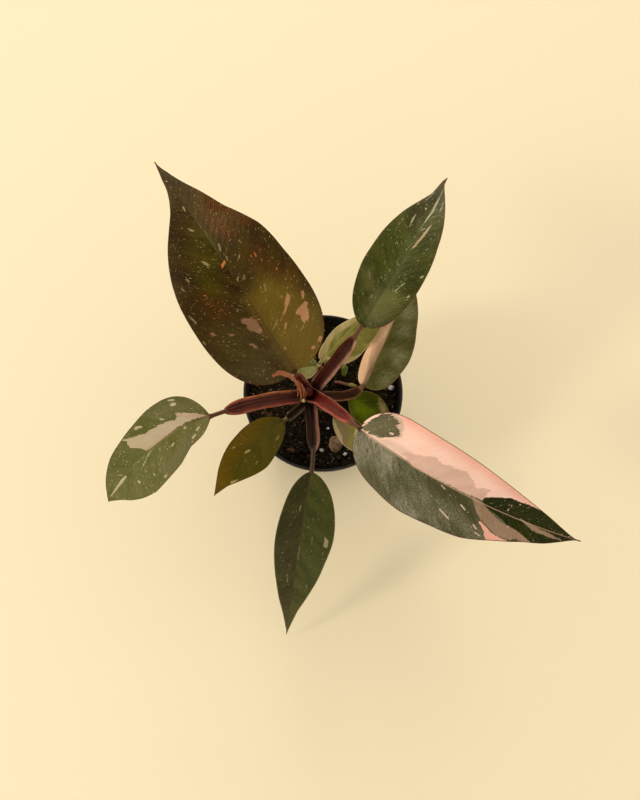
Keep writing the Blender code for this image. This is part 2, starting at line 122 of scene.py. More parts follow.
# Base is where the midrib starts, and left and right are the widest half-blades seen from there.
Leaf = namedtuple(
    "Leaf",
    "name base heading bend rise droop arch length left right widest_left widest_right "
    "round belly point roll twist fold_left fold_right",
)
LEAVES = (
    Leaf("big_back_left", (-17, 0, 150), 127.5, -5, 50, 70, 1.0, 160, 37.5, 36,
         0.33, 0.31, 0.42, 2.6, 2.6, -5, -20, 10, 10),
    Leaf("back_right_high", (23.5, 29, 150), 55, 11, 25, 50, 1.0, 113.5, 21.5, 19,
         0.36, 0.30, 0.55, 2.35, 1.8, -10, 0, 10, 10),
    Leaf("pink_front_right", (22, -32, 138), -41, 26, 18, 30, 1.0, 151, 24.5, 27.5,
         0.23, 0.32, 0.44, 2.3, 1.35, 18, 0, 10, 10),
    Leaf("left", (-70, -23, 128), -160, 35, 0, 55, 1.5, 96, 23, 21.5,
         0.63, 0.23, 0.72, 1.55, 0.95, -4, -12, 10, 10),
    Leaf("olive_front_left", (-25, -20.5, 98), -145, 27, 20, 25, 1.0, 68, 16.5, 12.5,
         0.46, 0.41, 0.70, 1.75, 1.3, -5, 0, 10, 10),
    Leaf("front", (-7.5, -55, 104), -100, 0, -22, 42, 1.0, 146, 21.5, 16.5,
         0.30, 0.34, 0.54, 1.65, 1.7, -3, -5, 10, 10),
    Leaf("right_low", (25, -0.5, 112), 59, 17, 20, 30, 1.0, 82, 19, 19,
         0.34, 0.34, 0.36, 1.7, 1.0, -2, -4, -55, 0),
    Leaf("light_back", (-1, 19, 96), 50, -8, 5, 16, 1.0, 54, 14, 16,
         0.36, 0.38, 0.55, 1.8, 1.2, 4, 0, 8, 4),
    Leaf("light_small", (-3.5, 15, 99), 184, 16, 6, 30, 1.0, 21, 7.5, 8,
         0.40, 0.40, 0.55, 1.8, 1.2, 0, 0, 8, 8),
    Leaf("young_bright", (17.5, -4.5, 97), -32, -14, 12, 30, 1.0, 35, 10.5, 11.5,
         0.45, 0.42, 0.60, 1.8, 1.1, 6, 0, 6, 6),
    Leaf("young_cream", (7.5, -17, 96), -60, 10, 6, 34, 1.0, 31, 10, 6.2,
         0.50, 0.50, 0.60, 1.8, 1.0, -4, 0, 10, 10),
)

# How far each margin stands out beyond the plain curve, left then right, at these shares of the length.
MARGIN_SHARES = (0.0, 0.08, 0.2, 0.32, 0.44, 0.56, 0.68, 0.78, 0.86, 0.92, 0.97, 1.0)
MARGINS = {
    "big_back_left": ((0, 1.0, 0.8, 0.1, 0.0, 1.0, 0.8, -2.0, -0.6, 1.1, 0.9, 0),
                      (0, 1.0, 0.2, -0.4, -0.7, 1.4, -0.8, 1.7, 2.1, 2.0, 0.6, 0)),
    "back_right_high": ((0, 0.6, 0.2, 0.5, 0.3, 0.2, 0.4, -0.4, -0.7, 0.8, 1.4, 0),
                        (0, 0.6, -0.4, -0.1, -0.1, -0.2, 0.7, 0.9, 0.4, -0.2, -0.8, 0)),
    "pink_front_right": ((0, 0.6, -0.9, -0.6, -0.1, 0.3, 0.6, 0.9, 1.0, 0.4, -0.3, 0),
                         (0, 0.6, -0.1, 1.0, -0.3, 0.5, -1.5, -1.8, 0.2, 0.1, -0.4, 0)),
    "left": ((0, 0.6, -2.0, 0.2, 0.0, -0.2, -0.3, 0.8, 0.8, -0.7, -0.5, 0),
             (0, 0.8, 0.3, 0.6, -0.2, -0.1, 0.9, 0.4, 0.0, -0.4, -0.3, 0)),
    "olive_front_left": ((0, 0.4, -0.1, -0.2, 0.3, 0.1, -0.2, -0.4, -0.8, 0.0, 0.3, 0),
                         (0, 0.3, 0.6, -0.1, -0.7, 0.0, 0.5, 0.7, 0.4, 0.4, 0.3, 0)),
    "front": ((0, 0.3, 0.1, 0.1, -0.3, 0.0, -0.2, -0.3, 0.2, 0.6, 0.4, 0),
              (0, 0.6, 0.1, 0.2, 0.2, 0.3, 0.5, 0.2, 0.3, 0.4, 0.0, 0)),
    "right_low": ((0, 0, -0.5, -2.0, -4.0, -5.5, -6.0, -5.0, -4.0, -2.5, -1.0, 0),
                  (0, 0.2, -0.3, 0.3, 0.2, -0.4, 0.3, 0.3, -0.2, 0.2, 0, 0)),
    "light_back": ((0, -3.0, -5.6, -6.0, -5.8, -5.6, -5.0, -4.0, -3.0, -2.0, -1.0, 0),
                   (0, 0, -0.2, 0.3, 0.4, 1.6, 4.2, 6.4, 7.0, 5.5, 3.0, 0)),
}

# Azimuth and height are where the petiole leaves the stem, rise is its slope there, and neck is the
# share of it between the end of the winged sheath and the blade.
Petiole = namedtuple("Petiole", "leaf azimuth height rise width depth neck arrive")
PETIOLES = (
    Petiole("big_back_left", 128, 104.5, 76, 7.0, 3.2, 0.12, 0.15),
    Petiole("back_right_high", 51, 104.5, 42, 9.0, 4.2, 0.11, 0.40),
    Petiole("pink_front_right", -37, 106.5, 50, 8.6, 4.0, 0.08, 0.40),
    Petiole("left", -170, 104.5, 28, 9.6, 4.4, 0.13, 0.40),
    Petiole("front", -89, 100.0, 22, 8.2, 4.0, 0.24, 0.45),
    Petiole("right_low", 4, 96.5, 34, 6.6, 3.6, 0.06, 0.35),
    Petiole("olive_front_left", -140, 93.0, 20, 5.4, 3.0, 0.10, 0.35),
    Petiole("light_back", 73, 88.5, 38, 4.2, 2.6, 0.10, 0.35),
    Petiole("light_small", 96, 94.5, 22, 3.2, 2.2, 0.10, 0.35),
    Petiole("young_bright", -8, 89.0, 28, 4.0, 2.6, 0.10, 0.35),
    Petiole("young_cream", -50, 87.5, 30, 3.8, 2.4, 0.10, 0.35),
)
# These two sheath the stem's head from both sides: how far the foot reaches in, its width and depth.
FEET = {"big_back_left": (6.0, 9.6, 5.0), "pink_front_right": (6.4, 9.4, 4.6)}
# The share over which a sheath narrows, where it isn't TAPER.
TAPERS = {"left": 0.16, "pink_front_right": 0.46, "back_right_high": 0.24, "front": 0.22}
# How far a wing's colour spreads into the channel, above 0 for the left wing and below for the right.
LEANS = {"back_right_high": -0.45, "pink_front_right": -0.30, "left": 0.25, "front": 0.45}
RED_PETIOLES = ("big_back_left", "back_right_high", "pink_front_right", "left", "front")


def srgb(colour):
    """A colour as a screen shows it, as the linear colour that a shader wants."""
    shares = (value / 255 for value in colour)
    return (*(v / 12.92 if v <= 0.04045 else ((v + 0.055) / 1.055) ** 2.4 for v in shares), 1.0)


class Value:
    """A node's output, which adds, subtracts and multiplies with numbers and other outputs."""

    def __init__(self, shading, socket):
        self.shading = shading
        self.socket = socket

    def __add__(self, other):
        return self.shading.math("ADD", self, other)

    def __sub__(self, other):
        return self.shading.math("SUBTRACT", self, other)

    def __rsub__(self, other):
        return self.shading.math("SUBTRACT", other, self)

    def __mul__(self, other):
        return self.shading.math("MULTIPLY", self, other)


class Shading:
    """The nodes of a material or world, added with short calls."""

    def __init__(self, owner, shader="Principled BSDF"):
        owner.use_nodes = True
        self.owner = owner
        self.shader = owner.node_tree.nodes[shader]

    def feed(self, socket, value):
        if isinstance(value, Value):
            self.owner.node_tree.links.new(value.socket, socket)
        elif value is not None:
            socket.default_value = value

    def node(self, kind, inputs=None, output=0, **settings):
        """A new node's output, with its inputs fed by number or name."""
        made = self.owner.node_tree.nodes.new("ShaderNode" + kind)
        for key, value in settings.items():
            setattr(made, key, value)
        for key, value in (inputs or {}).items():
            self.feed(made.inputs[key], value)
        return Value(self, made.outputs[output])

    def attribute(self, name, part="Fac"):
        return self.node("Attribute", output=part, attribute_name=name)

    def parts(self, vector):
        first = self.node("SeparateXYZ", {0: vector})
        return [Value(self, socket) for socket in first.socket.node.outputs]

    def join(self, x, y, z):
        return self.node("CombineXYZ", {0: x, 1: y, 2: z})

    def math(self, operation, a, b=None):
        return self.node("Math", {0: a, 1: b}, operation=operation)

    def step(self, value, low, high):
        """0 below low, 1 above high, smooth between. It falls where low is above high."""
        ends = {"From Min": min(low, high), "From Max": max(low, high)}
        ends.update({"To Min": float(low > high), "To Max": float(low < high)})
        return self.node("MapRange", {"Value": value, **ends}, interpolation_type="SMOOTHSTEP")

    def mix(self, factor, a, b, blend="MIX"):
        a, b = (srgb(c) if isinstance(c, tuple) and len(c) == 3 else c for c in (a, b))
        return self.node("Mix", {0: factor, 6: a, 7: b}, 2, data_type="RGBA", blend_type=blend)

    def darker(self, colour, by):
        return self.mix(1.0, colour, (*by, 1), "MULTIPLY")

    def stretch(self, vector, scale):
        return self.node("VectorMath", {0: vector, 1: scale}, operation="MULTIPLY")

    def shift(self, vector, offset):
        return self.node("VectorMath", {0: vector, 1: offset}, operation="ADD")

    def noise(self, vector, scale, detail=2.0, roughness=0.5):
        inputs = {"Vector": vector, "Scale": scale, "Detail": detail, "Roughness": roughness}
        return self.node("TexNoise", inputs, "Fac")

    def specks(self, vector, scale, share, small, large):
        """Scattered spots, and a tone for each. share of the cells hold one, its radius between two sizes."""
        wobble = self.noise(vector, 1.3, 1) - 0.5
        moved = self.shift(self.stretch(vector, scale), self.join(wobble * 0.5, wobble * -0.3, 0.0))
        distance = self.node("TexVoronoi", {"Vector": moved, "Scale": 1.0}, "Distance")
        pick, size, tone = self.parts(Value(self, distance.socket.node.outputs["Color"]))
        radius = size * (large - small) + small
        return self.step(pick, 1 - share, 1.005 - share) * self.step(radius - distance, 0, small * 0.4), tone

    def object_mm(self):
        """The place on the piece in millimetres."""
        return self.stretch(self.node("TexCoord", output="Object"), (1000, 1000, 1000))

    def finish(self, relief=None, depth=0.0, strength=0.0, **inputs):
        """Feeds the shader's inputs, whose names have _ for a space, and a bump depth metres deep."""
        for key, value in inputs.items():
            self.feed(self.shader.inputs[key.replace("_", " ")], value)
        if relief is not None:
            bump = self.node("Bump", {"Height": relief, "Distance": depth, "Strength": strength})
            self.feed(self.shader.inputs["Normal"], bump)
        return self.owner


def new_shading(name):
    return Shading(bpy.data.materials.new(name))


def closed_mesh(name, points, faces):
    """A mesh from points in millimetres, with all its faces turned outwards."""
    mesh = bpy.data.meshes.new(name)
    mesh.from_pydata((np.asarray(points, float) * MM).tolist(), [], faces)
    shape = bmesh.new()
    shape.from_mesh(mesh)
    bmesh.ops.recalc_face_normals(shape, faces=shape.faces)
    if shape.calc_volume(signed=True) < 0:
        bmesh.ops.reverse_faces(shape, faces=shape.faces)
    shape.to_mesh(mesh)
    shape.free()
    return mesh


def solid(name, points, faces, replaced, slot, material, attributes=None, smooth=180):
    """A closed piece from points in millimetres that rides on the pot and stands for replaced CAD nodes."""
    mesh = closed_mesh(name, points, faces)
    for key, values in (attributes or {}).items():
        values = np.asarray(values, np.float32)
        kind, field = ("FLOAT_VECTOR", "vector") if values.ndim == 2 else ("FLOAT", "value")
        mesh.attributes.new(key, kind, "POINT").data.foreach_set(field, values.ravel())
    mesh.shade_smooth()
    if smooth < 180:
        mesh.set_sharp_from_angle(angle=math.radians(smooth))
    mesh.materials.append(material)
    piece = bpy.data.objects.new(name, mesh)
    bpy.context.collection.objects.link(piece)
    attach(piece, "root")
    if replaced:
        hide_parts(*replaced)
    return piece


# Meshes

def ring_faces(rows, sides):
    """The faces of a stalk whose points come ring by ring, with both ends closed."""
    faces = [tuple(range(sides)), tuple(range((rows - 1) * sides, rows * sides))]
    for a in range(0, (rows - 1) * sides, sides):
        for k in range(sides):
            n = (k + 1) % sides
            faces.append((a + k, a + n, a + n + sides, a + k + sides))
    return faces


def sheet_faces(rows, columns):
    """The faces of a thin closed sheet whose upper points come row by row, and then its lower ones."""
    count = rows * columns
    faces = []
    for a in range(count - columns):
        if (a + 1) % columns:
            upper = (a + columns, a + columns + 1, a + 1, a)
            faces += [upper, tuple(count + k for k in reversed(upper))]
    rim = list(range(columns)) + [i * columns + columns - 1 for i in range(1, rows)]
    rim += [(rows - 1) * columns + j for j in range(columns - 2, -1, -1)]
    rim += [i * columns for i in range(rows - 2, 0, -1)]
    return faces + [(b + count, a + count, a, b) for a, b in zip(rim, rim[1:] + rim[:1])]


def lathe(profile, sides):
    """Points and faces of a profile of (radius, height) turned about Z. A radius of 0 closes an end."""
    points, rings, faces = [], [], []
    for radius, height in profile:
        turns = [2 * math.pi * k / sides for k in range(sides if radius else 1)]
        rings.append(range(len(points), len(points) + len(turns)))
        points += [(radius * math.cos(turn), radius * math.sin(turn), height) for turn in turns]
    for low, high in zip(rings, rings[1:]):
        for k in range(sides):
            n = (k + 1) % sides
            if len(low) == 1:
                faces.append((low[0], high[n], high[k]))
            elif len(high) == 1:
                faces.append((low[k], low[n], high[0]))
            else:
                faces.append((low[k], low[n], high[n], high[k]))
    return points, faces


def unit(vector):
    return vector / np.linalg.norm(vector, axis=-1, keepdims=True)


def direction(heading, pitch):
    h = np.radians(heading)
    p = np.radians(pitch)
    return np.stack([np.cos(p) * np.cos(h), np.cos(p) * np.sin(h), np.sin(p)], axis=-1)


def sample(shares, knots, rows):
    """Rows given at knots, read off at shares."""
    return np.stack([np.interp(shares, knots, column) for column in np.asarray(rows, float).T], axis=-1)


def smooth_path(path, steps, rounds):
    """Steps from each point of a path to the next, smoothed a number of rounds: knots, places, directions."""
    fine = np.linspace(0, len(path) - 1, steps * (len(path) - 1) + 1)
    smooth = sample(fine, np.arange(len(path)), path)
    for _ in range(rounds):
        smooth[1:-1] = (smooth[:-2] + 2 * smooth[1:-1] + smooth[2:]) / 4
    return fine, smooth, unit(np.gradient(smooth, axis=0))


def tube(path, radii, sides=24, squash=1.0, groove=0.0, twist=0.0):
    """Points and faces of a closed stalk along a path. A groove winds round it by twist turns."""
    fine, smooth, along = smooth_path(path, 10, 3)
    widths = np.interp(fine, np.arange(len(path)), radii)
    points = []
    for row, (place, ahead, radius) in enumerate(zip(smooth, along, widths)):
        level = np.array([0, 0, 1.0]) if abs(ahead[2]) < 0.9 else np.array([0, 1.0, 0])
        side = unit(np.cross(level, ahead))
        up = np.cross(ahead, side)
        for k in range(sides):
            turn = 2 * math.pi * k / sides
            lag = (k / sides + twist * row / len(fine)) % 1
            reach = radius * (1 - groove * (1 - lag) ** 4)
            points.append(place + (side * math.cos(turn) + up * math.sin(turn) * squash) * reach)
    return points, ring_faces(len(fine), sides)


def ribbon(path, widths, curl):
    """Points and faces of a thin strip along a path, curled across by curl radians and torn at its sides."""
    fine, smooth, along = smooth_path(path, 14, 6)
    half = np.interp(fine, np.arange(len(path)), widths)
    side = unit(np.cross(np.array([0.15, 0.2, 1.0]), along))
    up = np.cross(along, side)
    points = []
    for depth in (0, -PAPER):
        sheet = []
        for q in np.linspace(1, -1, PAPER_COLUMNS):
            ragged = 1 + 0.10 * np.sin(fine * 7 + q * 5) + 0.06 * np.sin(fine * 17 - q * 9)
            angle = q * curl * (1 + 0.15 * np.sin(fine * 3 + 1))
            radius = half * ragged / curl + depth
            drop = depth - radius * (1 - np.cos(angle))
            sheet.append(smooth + side * (radius * np.sin(angle))[:, None] + up * drop[:, None])
        points.append(np.stack(sheet, axis=1).reshape(-1, 3))
    return np.concatenate(points), sheet_faces(len(fine), PAPER_COLUMNS)


# Blades

def to_pixel(points):
    """Where the photograph's camera sees places given in millimetres."""
    tilt = math.radians(CAMERA_TILT)
    ahead = np.array([0, math.sin(tilt), -math.cos(tilt)])
    up = np.array([0, math.cos(tilt), math.sin(tilt)])
    away = np.asarray(points, float) - np.array(CAMERA_PLACE)
    depth = away @ ahead
    x = IMAGE_WIDTH / 2 + FOCAL_PX * away[..., 0] / depth
    y = IMAGE_HEIGHT / 2 - FOCAL_PX * (away @ up) / depth
    return np.stack([x, y], axis=-1)


def inside_by(pixels, corners, grow):
    """How far inside an outline each pixel place is, in millimetres on a leaf. Two points make a stroke."""
    nearest = np.full(pixels.shape[:-1], 1e9)
    within = np.zeros(pixels.shape[:-1], bool)
    for a, b in zip(corners, np.roll(corners, -1, axis=0)):
        edge = b - a
        share = np.clip(((pixels - a) @ edge) / (edge @ edge), 0, 1)
        nearest = np.minimum(nearest, np.linalg.norm(pixels - a - share[..., None] * edge, axis=-1))
        if len(corners) > 2 and a[1] != b[1]:
            crosses = (pixels[..., 1] > min(a[1], b[1])) & (pixels[..., 1] <= max(a[1], b[1]))
            at = a[0] + (pixels[..., 1] - a[1]) * edge[0] / edge[1]
            within ^= crosses & (pixels[..., 0] < at)
    return (np.where(within, nearest, -nearest) + grow) * PIXEL_ON_LEAF


def midrib(leaf, shares):
    """Places along the midrib, with the way to the blade's left and the way up."""
    fine = np.linspace(0, 1, 201)
    ahead = direction(leaf.heading + leaf.bend * fine, leaf.rise - leaf.droop * fine ** leaf.arch)
    steps = (ahead[1:] + ahead[:-1]) / 2 * leaf.length / 200
    path = np.concatenate([np.zeros((1, 3)), np.cumsum(steps, axis=0)]) + np.array(leaf.base)
    along = unit(sample(shares, fine, ahead))
    turn = np.radians(leaf.heading + leaf.bend * shares)
    left = np.stack([-np.sin(turn), np.cos(turn), 0 * turn], axis=-1)
    up = np.cross(along, left)
    roll = np.radians(leaf.roll + leaf.twist * shares)[:, None]
    left, up = left * np.cos(roll) + up * np.sin(roll), up * np.cos(roll) - left * np.sin(roll)
    return sample(shares, fine, path), left, up


def half_width(leaf, shares, side):
    """The half-blade's width: rounded up to its widest place, then drawn out to the tip, with waves."""
    wide, widest = (leaf.left, leaf.widest_left) if side > 0 else (leaf.right, leaf.widest_right)
    near = 1 - np.clip((widest - shares) / widest, 0, 1) ** 2
    far = 1 - np.clip((shares - widest) / (1 - widest), 0, 1) ** leaf.belly
    width = wide * np.where(shares < widest, near ** leaf.round, far ** leaf.point)
    if leaf.name in MARGINS:
        width = width + smooth_steps(shares, MARGINS[leaf.name][0 if side > 0 else 1])
    return np.maximum(width, BLADE_NECK + (BLADE_TIP - BLADE_NECK) * shares)


def smooth_steps(shares, values):
    """A smooth curve through values at MARGIN_SHARES."""
    fine = np.linspace(0, 1, 401)
    curve = np.pad(np.interp(fine, MARGIN_SHARES, values), 11, mode="edge")
    window = np.hanning(23)
    return np.interp(shares, fine, np.convolve(curve, window / window.sum(), "valid"))


def blade_surface(leaf, shares, across):
    """Places on the blade's upper face and each one's distance from the midrib."""
    place, left, up = midrib(leaf, shares)
    rows, reaches = [], []
    for q in across:
        side = 1 if q >= 0 else -1
        reach = abs(q) * half_width(leaf, shares, side)
        fold = math.radians(leaf.fold_left if side > 0 else leaf.fold_right)
        sag = CUP * reach ** 2 / max(leaf.left, leaf.right)
        upwards = (np.sqrt(reach ** 2 + CREASE ** 2) - CREASE) * math.sin(fold) - sag
        rows.append(place + left * (side * reach * math.cos(fold))[:, None] + up * upwards[:, None])
        reaches.append(side * reach)
    return np.stack(rows, axis=1), np.stack(reaches, axis=1)


def blade_relief(leaf, shares, across, reach):
    """How far the upper face stands out: a groove at the midrib, sunken side veins and a wavy margin."""
    s = shares[:, None]
    q = np.abs(across)[None, :]
    along = s * leaf.length
    groove = -GROOVE_DEPTH * (1 - s) ** 1.3 * np.exp(-(reach / (1.4 - 0.6 * s)) ** 2)
    quilt = 0.5 - 0.5 * np.cos(2 * math.pi * (along - VEIN_SLANT * np.abs(reach)) / VEIN_SPACING)
    pucker = PUCKER * (quilt ** 0.6 - 0.5) * np.clip(np.abs(reach) / 3, 0, 1) * (1 - q ** 6)
    phase = 2.0 * leaf.heading
    wave = np.sin(along / 7.5 + phase + 1.7 * np.sign(reach)) + 0.6 * np.sin(along / 3.9 + 2.1 * phase)
    size = max(leaf.left, leaf.right)
    frill = FRILL * size * wave * q ** 4 * np.clip(4 * s, 0, 1) * np.clip(5 * (1 - s), 0, 1)
    return groove + pucker + frill, groove


def make_blade(leaf, material):
    """A thin closed blade that carries how deep each point lies in every layer's patches."""
    rows = int(leaf.length / GRID) + 1
    columns = 2 * int(max(leaf.left, leaf.right) / GRID) + 1
    shares = np.linspace(0, 1, rows) ** 1.1
    across = np.linspace(-1, 1, columns)
    flat, reach = blade_surface(leaf, shares, across)
    normal = unit(np.cross(np.gradient(flat, axis=0), np.gradient(flat, axis=1)))
    relief, groove = blade_relief(leaf, shares, across, reach)
    s = shares[:, None]
    rib = np.clip(RIB_HEIGHT * (1 - s) ** 0.8, 0, 1.1) * np.exp(-(reach / (1.4 - s)) ** 2)
    thin = BLADE_THICKNESS * (1 - 0.6 * np.abs(across)[None, :] ** 12)
    top = flat + normal * (relief - BLADE_SINK)[..., None]
    bottom = flat + normal * (relief - BLADE_SINK - thin - rib + groove * 0.2)[..., None]
    along = np.broadcast_to(s * leaf.length, reach.shape)
    widths = np.where(across[None, :] >= 0, *(half_width(leaf, shares, side)[:, None] for side in (1, -1)))
    vein = along - VEIN_SLANT * np.abs(reach) + np.where(reach >= 0, 300, 0)
    marks = {
        "grain": np.stack([vein, np.abs(reach), 0 * reach], axis=-1),
        "place": np.stack([along, reach, (1 - np.abs(across))[None, :] * widths], axis=-1),
        "share": along / leaf.length,
    }
    pixels = to_pixel(flat)
    for layer, patches in OUTLINES.get(leaf.name, {}).items():
        depths = [inside_by(pixels, np.reshape(corners, (-1, 2)), grow) for grow, *corners in patches]
        marks[layer] = np.max(depths, axis=0)
    attributes = {}
    for key, values in marks.items():
        values = values.reshape(rows * columns, *values.shape[2:])
        attributes[key] = np.concatenate([values, values])
    attributes["upper"] = np.repeat([1.0, 0.0], rows * columns)
    points = np.concatenate([top.reshape(-1, 3), bottom.reshape(-1, 3)])
    slot = BLADE_SLOTS.get(leaf.name, "blade_green")
    solid("blade_" + leaf.name, points, sheet_faces(rows, columns), ["leaf_" + leaf.name], slot, material,
          attributes, 50)


# What a blade's surface shows, from the bottom up. A layer is a colour laid over part of a blade: its
# outlines are in OUTLINES, soft is the width of its edge, ragged how far streaks along the veins tear
# that edge, both in millimetres. cover is the share of it that the streaks leave, strength how much of
# what is under it the layer hides, and dots, if any, the share of it that is only spots.
Layer = namedtuple("Layer", "name colour second soft ragged cover strength dots", defaults=(1, 1, 0))
# The colour after the four tones paints a pale grey sheen streaked along the veins, over the share of each
# half that the next two give. Faint vein lines take the same colour.
Look = namedtuple(
    "Look", "left_dark left_light right_dark right_light silver silver_left silver_right "
    "fleck flecks rib rib_reach margin gloss layers",
)
LOOKS = {
    "big_back_left": Look(
        (34, 14, 2), (62, 43, 2), (40, 24, 2), (66, 48, 2), (122, 104, 50), 0.05, 0.05, (200, 166, 104), 0.46,
        (70, 28, 20), 0.72, (84, 34, 24), 0.40, (
            # The first two layers paint light shining through the blade on its lower right half and shade on
            # its lower left half.
            Layer("lit_lower_right", (97, 74, 5), (111, 88, 25), 9, 2),
            Layer("shaded_lower_left", (55, 39, 3), (71, 58, 18), 9, 2),
            Layer("green", (51, 42, 2), (76, 66, 2), 6, 2, strength=0.85),
            Layer("blush", (84, 36, 2), (100, 46, 2), 7, 1, strength=0.65),
            Layer("blush", (160, 82, 24), (184, 108, 40), 4, 3, strength=0.8, dots=0.16),
            Layer("rust", (70, 42, 4), (88, 50, 4), 7, 1, strength=0.5),
            Layer("rust", (180, 84, 26), (206, 116, 50), 4, 3, strength=0.85, dots=0.16),
            Layer("pale", (128, 110, 66), (158, 136, 92), 0.2, 0.3, 0.9),
            Layer("orange", (184, 92, 36), (206, 126, 70), 0.2, 0.3, 0.95),
            Layer("mauve", (124, 88, 57), (146, 105, 73), 0.15, 0.9, 0.96),
            Layer("pink", (167, 117, 75), (191, 137, 96), 0.15, 0.8, 0.97),
        )),
    "back_right_high": Look(
        (39, 43, 2), (67, 68, 4), (30, 34, 2), (62, 64, 4), (138, 136, 88), 0.08, 0.12, (190, 184, 130), 0.46,
        (84, 82, 44), 0.30, (92, 52, 28), 0.38, (
            # The first two layers paint shade at the tip and a sheen near the base.
            Layer("shade", (36, 30, 4), (50, 46, 8), 5, 2),
            Layer("sheen_near_base", (92, 90, 42), (112, 106, 56), 5, 2, strength=0.75),
            Layer("band", (80, 84, 44), (106, 108, 66), 6, 3, 0.7, 0.45),
            Layer("yellow", (134, 120, 40), (164, 150, 66), 4, 2, strength=0.7, dots=0.35),
            Layer("pale", (140, 134, 92), (178, 168, 128), 0.2, 0.2, 0.9),
            Layer("pink", (164, 136, 96), (196, 160, 122), 0.2, 0.4, 0.9),
        )),
    "pink_front_right": Look(
        (80, 76, 48), (104, 98, 70), (46, 46, 2), (86, 83, 49), (166, 156, 128), 0.2, 0.50, (208, 188, 158),
        0.26, (200, 160, 128), 1.2, (88, 34, 20), 0.34, (
            Layer("deep", (63, 61, 31), (79, 73, 42), 5, 2),
            # A painted sheen on the green half near the base.
            Layer("silver", (132, 122, 96), (184, 172, 146), 6, 3, 0.60, 0.5),
            Layer("pink", (255, 210, 186), (253, 199, 173), 0.15, 0.2),
            Layer("rose", (240, 166, 138), (244, 178, 150), 5, 2),
            Layer("veil", (226, 188, 160), (214, 174, 148), 2.0, 1.4, 0.9, 0.8),
            Layer("mauve", (230, 186, 161), (210, 167, 143), 0.35, 1.4, 0.97),
            Layer("halo", (190, 160, 134), (206, 172, 146), 0.6, 1.6, 0.9, 0.8),
            Layer("base", (59, 55, 26), (94, 88, 55), 0.15, 1.7, 0.97),
            Layer("tip", (17, 27, 2), (44, 47, 2), 0.15, 0.5, 0.995),
            Layer("olive", (147, 114, 85), (163, 132, 105), 0.15, 0.9, 0.95),
            Layer("hot", (236, 160, 132), (244, 178, 150), 0.12, 0.5),
            Layer("dash", (224, 172, 142), (206, 188, 160), 0.12, 0.1),
        )),
    "left": Look(
        (84, 85, 22), (105, 102, 48), (81, 83, 22), (103, 100, 48), (158, 150, 104), 0.16, 0.22,
        (216, 196, 150), 0.75, (150, 118, 84), 0.35, (92, 54, 36), 0.42, (
            Layer("haze", (112, 100, 64), (124, 112, 76), 5, 2, strength=0.7),
            Layer("pink", (193, 170, 135), (205, 181, 143), 0.15, 0.9, 0.985),
            Layer("magenta", (196, 128, 110), (188, 142, 118), 0.8, 1.0, 0.6, 0.5),
            Layer("pale", (186, 172, 128), (204, 188, 146), 0.15, 0.3, 0.95),
        )),
    "olive_front_left": Look(
        (63, 57, 2), (79, 67, 2), (70, 59, 2), (87, 69, 2), (130, 118, 50), 0.08, 0.08, (160, 144, 80), 0.26,
        (82, 68, 18), 0.5, (72, 50, 16), 0.42, (
            Layer("rust", (104, 72, 2), (114, 82, 5), 8, 1, strength=0.8),
            Layer("pale", (150, 132, 74), (168, 150, 92), 0.2, 0.3, 0.9),
        )),
    "front": Look(
        (36, 44, 2), (63, 66, 7), (32, 29, 2), (49, 46, 2), (124, 120, 80), 0.16, 0.14, (170, 160, 120), 0.26,
        (92, 70, 46), 0.55, (116, 98, 62), 0.36, (
            Layer("pale", (136, 126, 90), (160, 146, 110), 0.2, 0.4, 0.85),
        )),
    "right_low": Look(
        (172, 132, 94), (196, 156, 118), (58, 54, 4), (94, 92, 32), (140, 132, 96), 0.0, 0.26,
        (178, 168, 128), 0.24, (150, 116, 84), 1.0, (130, 90, 62), 0.42, (
            Layer("cream", (232, 190, 150), (212, 166, 126), 0.5, 0.9, 0.97),
            # A painted shadow that darkens the top of the face, where the leaf above shades it.
            Layer("dull_and_shadow", (110, 84, 54), (140, 106, 72), 2.0, 2.0, 0.9, 0.9),
            Layer("crease", (146, 108, 76), (168, 128, 94), 0.8, 0.8, 0.95),
            Layer("cloud", (120, 118, 78), (138, 134, 94), 4, 1.5, 0.6, 0.8),
        )),
    "light_back": Look(
        (92, 92, 24), (140, 128, 60), (88, 88, 22), (134, 122, 52), (184, 172, 112), 0.3, 0.2,
        (196, 186, 124), 0.2, (160, 150, 84), 0.9, (196, 172, 116), 0.38, (
            Layer("cream", (184, 162, 110), (152, 134, 76), 0.3, 0.9, 0.9),
        )),
    "light_small": Look(
        (84, 84, 30), (122, 114, 56), (76, 78, 26), (108, 102, 46), (176, 168, 116), 0.4, 0.25,
        (190, 184, 124), 0.4, (150, 138, 84), 0.9, (190, 164, 118), 0.36, ()),
    "young_bright": Look(
        (43, 47, 2), (70, 78, 2), (40, 44, 2), (66, 70, 2), (130, 140, 60), 0.06, 0.06, (170, 170, 90), 0.15,
        (96, 104, 24), 0.8, (130, 116, 50), 0.18, (
            Layer("lime", (87, 104, 2), (106, 121, 12), 4, 2, strength=0.8),
            # A painted highlight at the blade's right end.
            Layer("cream", (120, 106, 52), (150, 128, 84), 1.0, 0.8, 0.8),
        )),
    "young_cream": Look(
        (128, 108, 66), (142, 122, 80), (128, 108, 66), (142, 122, 80), (176, 156, 110), 0.0, 0.0,
        (184, 166, 120), 0.1, (140, 124, 72), 0.8, (188, 168, 120), 0.36, (
            Layer("cream", (194, 172, 124), (176, 156, 108), 0.3, 0.6),
            Layer("green", (124, 118, 50), (142, 134, 64), 0.4, 0.8, 0.95),
        )),
}

